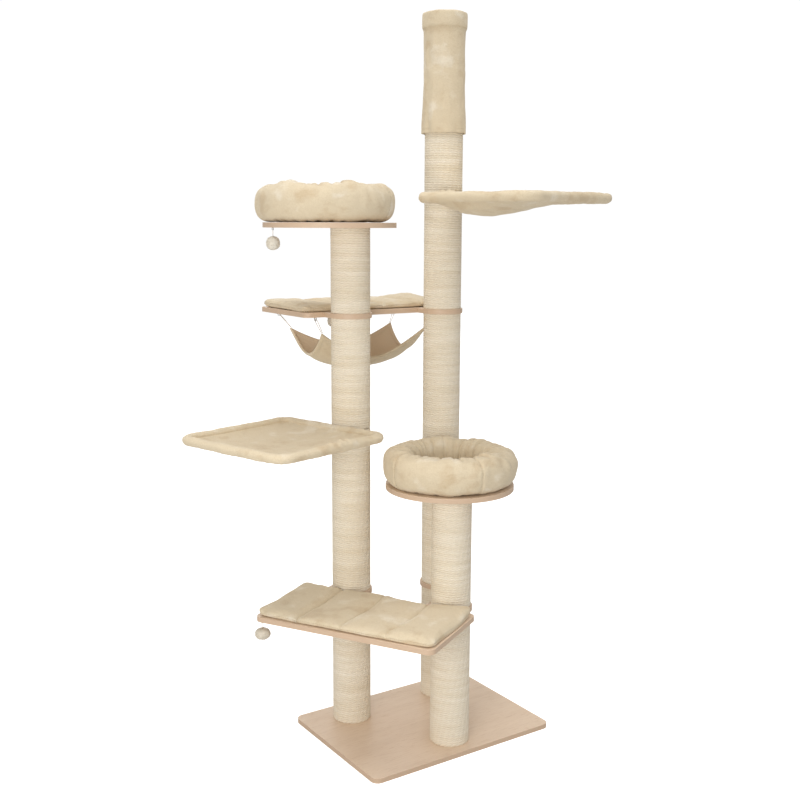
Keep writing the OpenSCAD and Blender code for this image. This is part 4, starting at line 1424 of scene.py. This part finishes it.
@dataclass
class Hammock:
    """A plush mat hung by four doubled cords under the middle shelf."""

    shop: Workshop
    width: float = 428 * MM
    depth: float = 230 * MM
    corner_drop: float = 60 * MM
    sag: float = 131 * MM
    end_sag: float = 82 * MM
    side_sag: tuple[float, float] = (90 * MM, 58 * MM)
    cloth: float = 5 * MM
    loop_d: float = 2 * MM
    tab: float = 6 * MM
    eye: tuple[float, float, float] = (4 * MM, 6 * MM, 1.5 * MM)
    route: tuple[tuple[float, float], ...] = (
        (1.1, 0), (1.5, 0.2), (1.9, 0.45), (2.2, 0.7), (2.25, 0.9), (2.25, 1))

    def __post_init__(self) -> None:
        """Finds the hooks and the mat's corners."""
        low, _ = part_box("middle_shelf")
        self.board = low.z
        first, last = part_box("hammock_hooks")
        self.centre = (first + last) / 2
        self.corner_z = self.board - self.corner_drop

    def corner(self, sx: int, sy: int) -> np.ndarray:
        """The point where a corner's cords are sewn on."""
        return np.array([self.centre.x + sx * (self.width / 2 - self.tab),
                         self.centre.y + sy * (self.depth / 2 - self.tab), self.corner_z])

    def loops(self) -> list[bpy.types.Object]:
        """Makes the four doubled cords as plain cords at their real length."""
        made = []
        span_x, span_y = 490 * MM / 2, 261 * MM / 2
        for number, (sx, sy) in enumerate(((-1, -1), (1, -1), (1, 1), (-1, 1)), 1):
            corner = self.corner(sx, sy)
            ring_z = self.board - self.eye[0] - self.eye[1]
            ring = np.array([self.centre.x + sx * span_x, self.centre.y + sy * span_y, ring_z])
            pull = float(np.linalg.norm(ring - corner))
            up = (ring - corner) / pull
            reach = pull - self.eye[1]
            side = np.array([-up[1], up[0], 0]) / math.hypot(up[0], up[1])
            bend = 2.25 * self.loop_d
            half = [(p * self.loop_d, q * reach) for p, q in self.route]
            over = [(bend * math.cos(math.radians(a)), reach + bend * math.sin(math.radians(a)))
                    for a in range(30, 151, 30)]
            line = half + over + [(-p, q) for p, q in half[::-1]]
            path = refine(np.array([corner + p * side + q * up for p, q in line]), 4)
            piece = tube(f"hammock_cord_{number}", path, self.loop_d / 2, CORD)
            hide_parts(f"hammock_loop_{number}")
            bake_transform(piece)
            made.append(piece)
        return made

    def mat(self) -> None:
        """Hangs, hems and dresses the mat."""
        rows, columns = 90, 50
        u, v = np.meshgrid(np.linspace(-1, 1, rows), np.linspace(-1, 1, columns), indexing="ij")
        half_x, half_y = self.width / 2 - 1 * MM, self.depth / 2 - 1 * MM
        along, across = 1 - np.abs(u) ** 3, 1 - v**2
        front, back = self.side_sag
        sides = (front * (1 - v) + back * (1 + v)) / 2 * (1 - np.abs(u) ** 1.6)
        ends = self.end_sag * (1 - np.abs(v) ** 1.6)
        z = self.corner_z - sides * (1 - across) - ends * (1 - along) - self.sag * along * across
        bow_x = 1 - 0.04 * (1 - v**2)
        bow_y = 1 - 0.12 * (1 - u**2)
        grid = np.stack([u * half_x * bow_x, v * half_y * bow_y, z], axis=2)
        grid[..., :2] += (self.centre.x, self.centre.y)
        flat = grid.reshape(-1, 3)
        cloth = make("hammock_drape", flat, grid_faces(rows, columns), PLUSH)
        rumple = Ripples(41, 0.09)
        inside = (1 - np.abs(u) ** 8) * (1 - np.abs(v) ** 8)
        write_points(cloth, flat + np.outer(2 * MM * rumple.at(flat) * inside.ravel(), (0, 0, 1)))
        at_corner = np.hypot(1 - np.abs(u), (1 - np.abs(v)) * half_y / half_x) < 0.06
        Drape(frames=24, gravity=1.0, cap=8 * MM, spare=0.0, stiffness=25, bending=0.4).let_go(
            cloth, at_corner.ravel().astype(float))
        grid = read(cloth).reshape(rows, columns, 3)
        bpy.data.objects.remove(cloth)
        to_edge = np.minimum((1 - np.abs(u)) * half_x, (1 - np.abs(v)) * half_y)
        hem = smooth_step(-3 * MM, 4 * MM, to_edge) - smooth_step(11 * MM, 14 * MM, to_edge)
        dip = 1.5 * MM * dent(to_edge - 12 * MM, 2.2 * MM)
        # The upper side takes the brightened plush, painted light for the hollow.
        piece = sheet_shell("hammock_mat", grid, self.cloth + 4.5 * MM * hem - dip, PLUSH, HAMMOCK_LIT_LINING)
        subdivide(piece)
        dress(piece, "hammock", HAMMOCK_LIT_LINING, "hammock_cloth")
        in_by = 3
        last_row, last_column = rows - 1 - in_by, columns - 1 - in_by
        border = [grid[i, in_by] for i in range(in_by, last_row + 1)]
        border += [grid[last_row, j] for j in range(in_by, last_column + 1)]
        border += [grid[i, last_column] for i in range(last_row, in_by, -1)]
        border += [grid[in_by, j] for j in range(last_column, in_by, -1)]
        seam = on_surface(piece, np.array(border) + (0, 0, 6 * MM), 0.2 * MM)
        dress(self.shop.sew("hammock_stitches", seam), "hammock", THREAD)


@dataclass
class Toy:
    """A plush toy on a short string under a board."""

    shop: Workshop
    name: str
    board: str
    seed: int
    string_d: float = 1.6 * MM
    eye: tuple[float, float, float] = (1 * MM, 3 * MM, 1 * MM)

    def build(self) -> None:
        """Makes the string and the toy on it."""
        low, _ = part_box(self.board)
        centre = middle(self.name)
        node_low, node_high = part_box(self.name)
        top = low.z - self.eye[0] - 2 * self.eye[1] - self.eye[2] - 0.5 * MM
        path = np.array([(centre.x, centre.y, top + (centre.z - top) * i / 14) for i in range(15)])
        string = tube(f"{self.name}_cord", path, self.string_d / 2, CORD)
        ball = bpy.data.meshes.new(f"{self.name}_plush")
        work = bmesh.new()
        bmesh.ops.create_uvsphere(work, u_segments=48, v_segments=32, radius=1.0)
        work.to_mesh(ball)
        work.free()
        piece = wrap(f"{self.name}_plush", ball, TOY_PLUSH)
        unit = read(piece)
        full = np.sign(unit[:, 2]) * np.abs(unit[:, 2]) ** 0.9
        wide = np.hypot(unit[:, 0], unit[:, 1])[:, None]
        flat = unit[:, :2] * np.where(wide > 1e-6, wide ** -0.15, 1)
        size = (node_high.x - node_low.x) / 2 - 1 * MM
        tall = (node_high.z - node_low.z) / 2 - 1 * MM
        shape = np.column_stack([flat * size, full * tall])
        shape *= (1 + 0.02 * Ripples(self.seed, 0.02).at(shape))[:, None]
        write_points(piece, shape + np.array(centre))
        self.shop.fuzz.run(piece, TOY_PLUSH, Density=200000.0, Tuft=2.0 * MM, Seed=self.seed)
        dress(piece, self.name, TOY_PLUSH, self.name)
        dress(string, self.name, CORD, f"{self.name}_string")


# ---------------------------------------------------------------- ceiling tensioner


@dataclass
class Sleeve:
    """The plush sleeve over the ceiling tensioner, with the plain pieces under it."""

    shop: Workshop
    boards: Boards
    cloth: float = 2.4 * MM
    over_rope: float = 69.6 * MM
    around: int = 120

    def outline(self) -> list[tuple[float, float, float]]:
        """The sleeve's outer side from its top to its hem, as radius, height and how far its folds stand."""
        low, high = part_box("tension_sleeve")
        top, hem = high.z, low.z
        cap = (high.x - low.x) / 2
        points = [(0.3 * cap, top + 2.5 * MM, 0.0), (0.72 * cap, top + 0.5 * MM, 0.3),
                  (cap - 5 * MM, top - 1.5 * MM, 0.5), (cap - 0.6 * MM, top - 7 * MM, 0.6),
                  (cap, top - 26 * MM, 0.8), (cap - 0.5 * MM, top - 46 * MM, 0.9),
                  (cap - 3.5 * MM, top - 54 * MM, 0.8), (70 * MM, top - 62 * MM, 1.0),
                  (68.8 * MM, top - 92 * MM, 1.3)]
        for share in np.linspace(0.12, 1, 22):
            z = top - 92 * MM - share * (top - 92 * MM - hem)
            waist = 67.6 * MM + 2.4 * MM * abs(share * 1.5 - 0.6)
            flare = 4.6 * MM * smooth_step(0.45, 1.0, np.array(share))
            points.append((float(min(waist, 70.5 * MM) + flare), z, 1.2 + 1.9 * share))
        return points

    def build(self) -> None:
        """Makes the sleeve, its hem and the pieces inside."""
        centre = middle("tension_sleeve")
        profile = np.array(self.outline())
        turn = np.arange(self.around) / self.around * TURN
        fine = refine(np.column_stack([profile[:, 0], profile[:, 2], profile[:, 1]]), 3)
        draw = np.random.default_rng(12)
        folds = [(int(n), draw.uniform(0, TURN), draw.uniform(0.5, 1.0)) for n in (3, 5, 7, 8, 11, 13)]
        outer, inner = [], []
        rope_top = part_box("rear_rope_5")[1].z
        for radius, stand, z in fine:
            least = self.over_rope - 4 * MM * smooth_step(rope_top + 70 * MM, rope_top + 110 * MM, z)
            lean = 0.35 * math.sin((z - fine[-1][2]) / 0.12)
            wave = sum(a * np.sin(n * turn + p + lean * n * 0.25) for n, p, a in folds) / 2.6
            wave = np.sign(wave) * np.abs(wave) ** 1.3
            ring_r = np.maximum(radius + stand * MM * wave * 1.15, least if radius > 66 * MM else 0.0)
            for rings, thickness in ((outer, 0.0), (inner, self.cloth)):
                r = np.maximum(ring_r - thickness, 2 * MM)
                drop = thickness if radius < 70 * MM and z > fine[0][2] - 12 * MM else 0.0
                level = np.full(self.around, z - drop)
                rings.append(np.stack([r * np.cos(turn), r * np.sin(turn), level], axis=1))
        outer.append(outer[-1] * 0.5 + inner[-1] * 0.5 - (0, 0, 1.2 * MM))
        rings = np.array(outer + inner[::-1]) + (centre.x, centre.y, 0)
        piece = loft("ceiling_sleeve", rings, PLUSH)
        subdivide(piece)
        points, normal = read(piece), read(piece, "normal")
        points += normal * (0.7 * MM * Ripples(9, 0.03).at(points * (1, 1, 0.3)))[:, None]
        write_points(piece, points)
        dress(piece, "tensioner", PLUSH, "tension_sleeve")
        low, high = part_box("tension_sleeve")
        for number, height in enumerate((low.z + 14 * MM, high.z - 52 * MM), 1):
            ring = np.stack([centre.x + 73 * MM * np.cos(turn), centre.y + 73 * MM * np.sin(turn),
                             np.full(self.around, height)], axis=1)
            seam = on_surface(piece, ring, 0.2 * MM)
            dress(self.shop.sew(f"sleeve_stitches_{number}", seam), "tensioner", THREAD)
        plate = self.boards.soften("ceiling_plate", "ceiling_plate_eased", RAW_WOOD)
        dress(plate, "tensioner", RAW_WOOD, "ceiling_plate")
        foam = self.boards.soften("ceiling_foam", "ceiling_foam_disc", FOAM)
        dress(foam, "tensioner", FOAM, "ceiling_foam")
        refinish("tension_spindle", ZINC)
        refinish("tension_lock_nut", ZINC)


# ---------------------------------------------------------------- studio


@dataclass
class Studio:
    """The camera, a pale floor and soft light."""

    spot: tuple[float, float, float] = (-1.9984, -2.8552, 1.7119)
    azimuth: float = 33.68
    down: float = 9.365
    roll: float = -0.229
    lens: float = 48.26
    sky: float = 0.61
    bounce: float = 0.12
    paper: float = 0.95

    def camera(self) -> None:
        """Sets up the camera."""
        data = bpy.data.cameras.new("camera")
        data.lens, data.sensor_width = self.lens, 36
        data.clip_start, data.clip_end = 0.1, 50
        camera = bpy.data.objects.new("camera", data)
        bpy.context.scene.collection.objects.link(camera)
        az, down = math.radians(self.azimuth), math.radians(self.down)
        ahead = Vector((math.sin(az) * math.cos(down), math.cos(az) * math.cos(down), -math.sin(down)))
        right = Vector((math.cos(az), -math.sin(az), 0))
        up = right.cross(ahead)
        turn = Matrix.Rotation(math.radians(self.roll), 3, ahead)
        axes = Matrix((turn @ right, turn @ up, -ahead)).transposed()
        camera.matrix_world = Matrix.Translation(self.spot) @ axes.to_4x4()
        bpy.context.scene.camera = camera

    def lamp(self, name: str, spot: Sequence[float], aim: Sequence[float], size: float, watts: float,
             tint: Colour = (1, 1, 1, 1)) -> None:
        """Adds one soft square lamp.

        Args:
            name: its name.
            spot: where it stands.
            aim: what it faces.
            size: its width.
            watts: its power.
            tint: its colour.
        """
        data = bpy.data.lights.new(name, "AREA")
        data.size, data.energy, data.color = size, watts, tint[:3]
        lamp = bpy.data.objects.new(name, data)
        bpy.context.scene.collection.objects.link(lamp)
        lamp.location = spot
        lamp.rotation_euler = (Vector(aim) - Vector(spot)).to_track_quat("-Z", "Y").to_euler()

    def build(self) -> None:
        """Adds the floor, the sky and the lamps."""
        scene = bpy.context.scene
        scene.view_settings.view_transform = "Standard"
        world = bpy.data.worlds.new("studio")
        scene.world = world
        world.use_nodes = True
        graph = Graph(world.node_tree)
        seen = graph.get("ShaderNodeLightPath", output="Is Camera Ray")
        power = graph.maths("MULTIPLY_ADD", seen, 1.02 - self.sky, self.sky)
        glow = graph.add("ShaderNodeBackground", {"Color": (1, 1, 1, 1), "Strength": power})
        graph.add("ShaderNodeOutputWorld", {"Surface": glow.outputs[0]})
        mesh = bpy.data.meshes.new("studio_floor")
        reach = 14.0
        corners = [(-reach, -reach, 0), (reach, -reach, 0), (reach, reach, 0), (-reach, reach, 0)]
        mesh.from_pydata(corners, [], [(0, 1, 2, 3)])
        floor = bpy.data.objects.new("studio_floor", mesh)
        paper = bpy.data.materials.new("studio_paper")
        paper.use_nodes = True
        skin = paper.node_tree.nodes["Principled BSDF"]
        skin.inputs["Base Color"].default_value = (0.5, 0.5, 0.5, 1)
        skin.inputs["Roughness"].default_value = 0.9
        skin.inputs["Emission Color"].default_value = (1, 1, 1, 1)
        nodes = paper.node_tree.nodes
        ray = nodes.new("ShaderNodeLightPath")
        power = nodes.new("ShaderNodeMapRange")
        power.inputs["To Min"].default_value, power.inputs["To Max"].default_value = self.bounce, self.paper
        paper.node_tree.links.new(ray.outputs["Is Camera Ray"], power.inputs["Value"])
        paper.node_tree.links.new(power.outputs[0], skin.inputs["Emission Strength"])
        mesh.materials.append(paper)
        scene.collection.objects.link(floor)
        aim = (-0.05, 0.1, 1.45)
        self.lamp("key", (-2.4, -1.9, 1.3), (-0.1, 0.1, 1.1), 1.4, 43, (1.0, 0.985, 0.96, 1))
        self.lamp("top", (-0.3, -0.3, 5.6), aim, 3.4, 118)
        self.lamp("fill", (2.2, -2.6, 2.2), aim, 2.0, 5)
        self.lamp("back", (1.5, 4.0, 3.0), aim, 2.6, 40)


# ---------------------------------------------------------------- the tree


def main() -> None:
    """Builds the studio and every part of the tree, in order."""
    logging.basicConfig(level=logging.INFO, format="%(message)s")
    studio = Studio()
    studio.camera()
    shop = Workshop()
    hammock = Hammock(shop)
    hammock.loops()
    toys = (Toy(shop, "top_toy", "top_round_board", 3), Toy(shop, "lower_toy", "lower_shelf", 4),
            Toy(shop, "middle_toy", "middle_shelf", 5))
    for toy in toys:
        toy.build()
    studio.build()
    hammock.mat()
    Pad(shop, "lower_pad", math.radians(120), 21, (-1, -1)).build()
    Pad(shop, "middle_pad", 0.0, 27, (1, 1)).build()
    top_humps = ((165, 4), (200, 12), (232, 3), (266, 9), (310, 7), (350, 10), (30, 5), (75, 11), (120, 6))
    front_humps = ((20, 7), (62, 10), (104, 5), (150, 9), (196, 4), (238, 6), (280, 9), (325, 4))
    Bed(shop, "top_bed", 31, top_humps, seams=(20.0, 92.0, 164.0, 308.0)).build()
    Bed(shop, "front_bed", 37, front_humps).build()
    Sling(shop, "left", "left_cores", 51, 95.0, 32 * MM, crown=13 * MM).build()
    Sling(shop, "right", "rear_cores", 57, 200.0, 50 * MM, skew=0.85).build()
    boards = Boards()
    boards.build()
    Sleeve(shop, boards).build()
    Posts(shop).build()


if __name__ == "__main__":
    main()
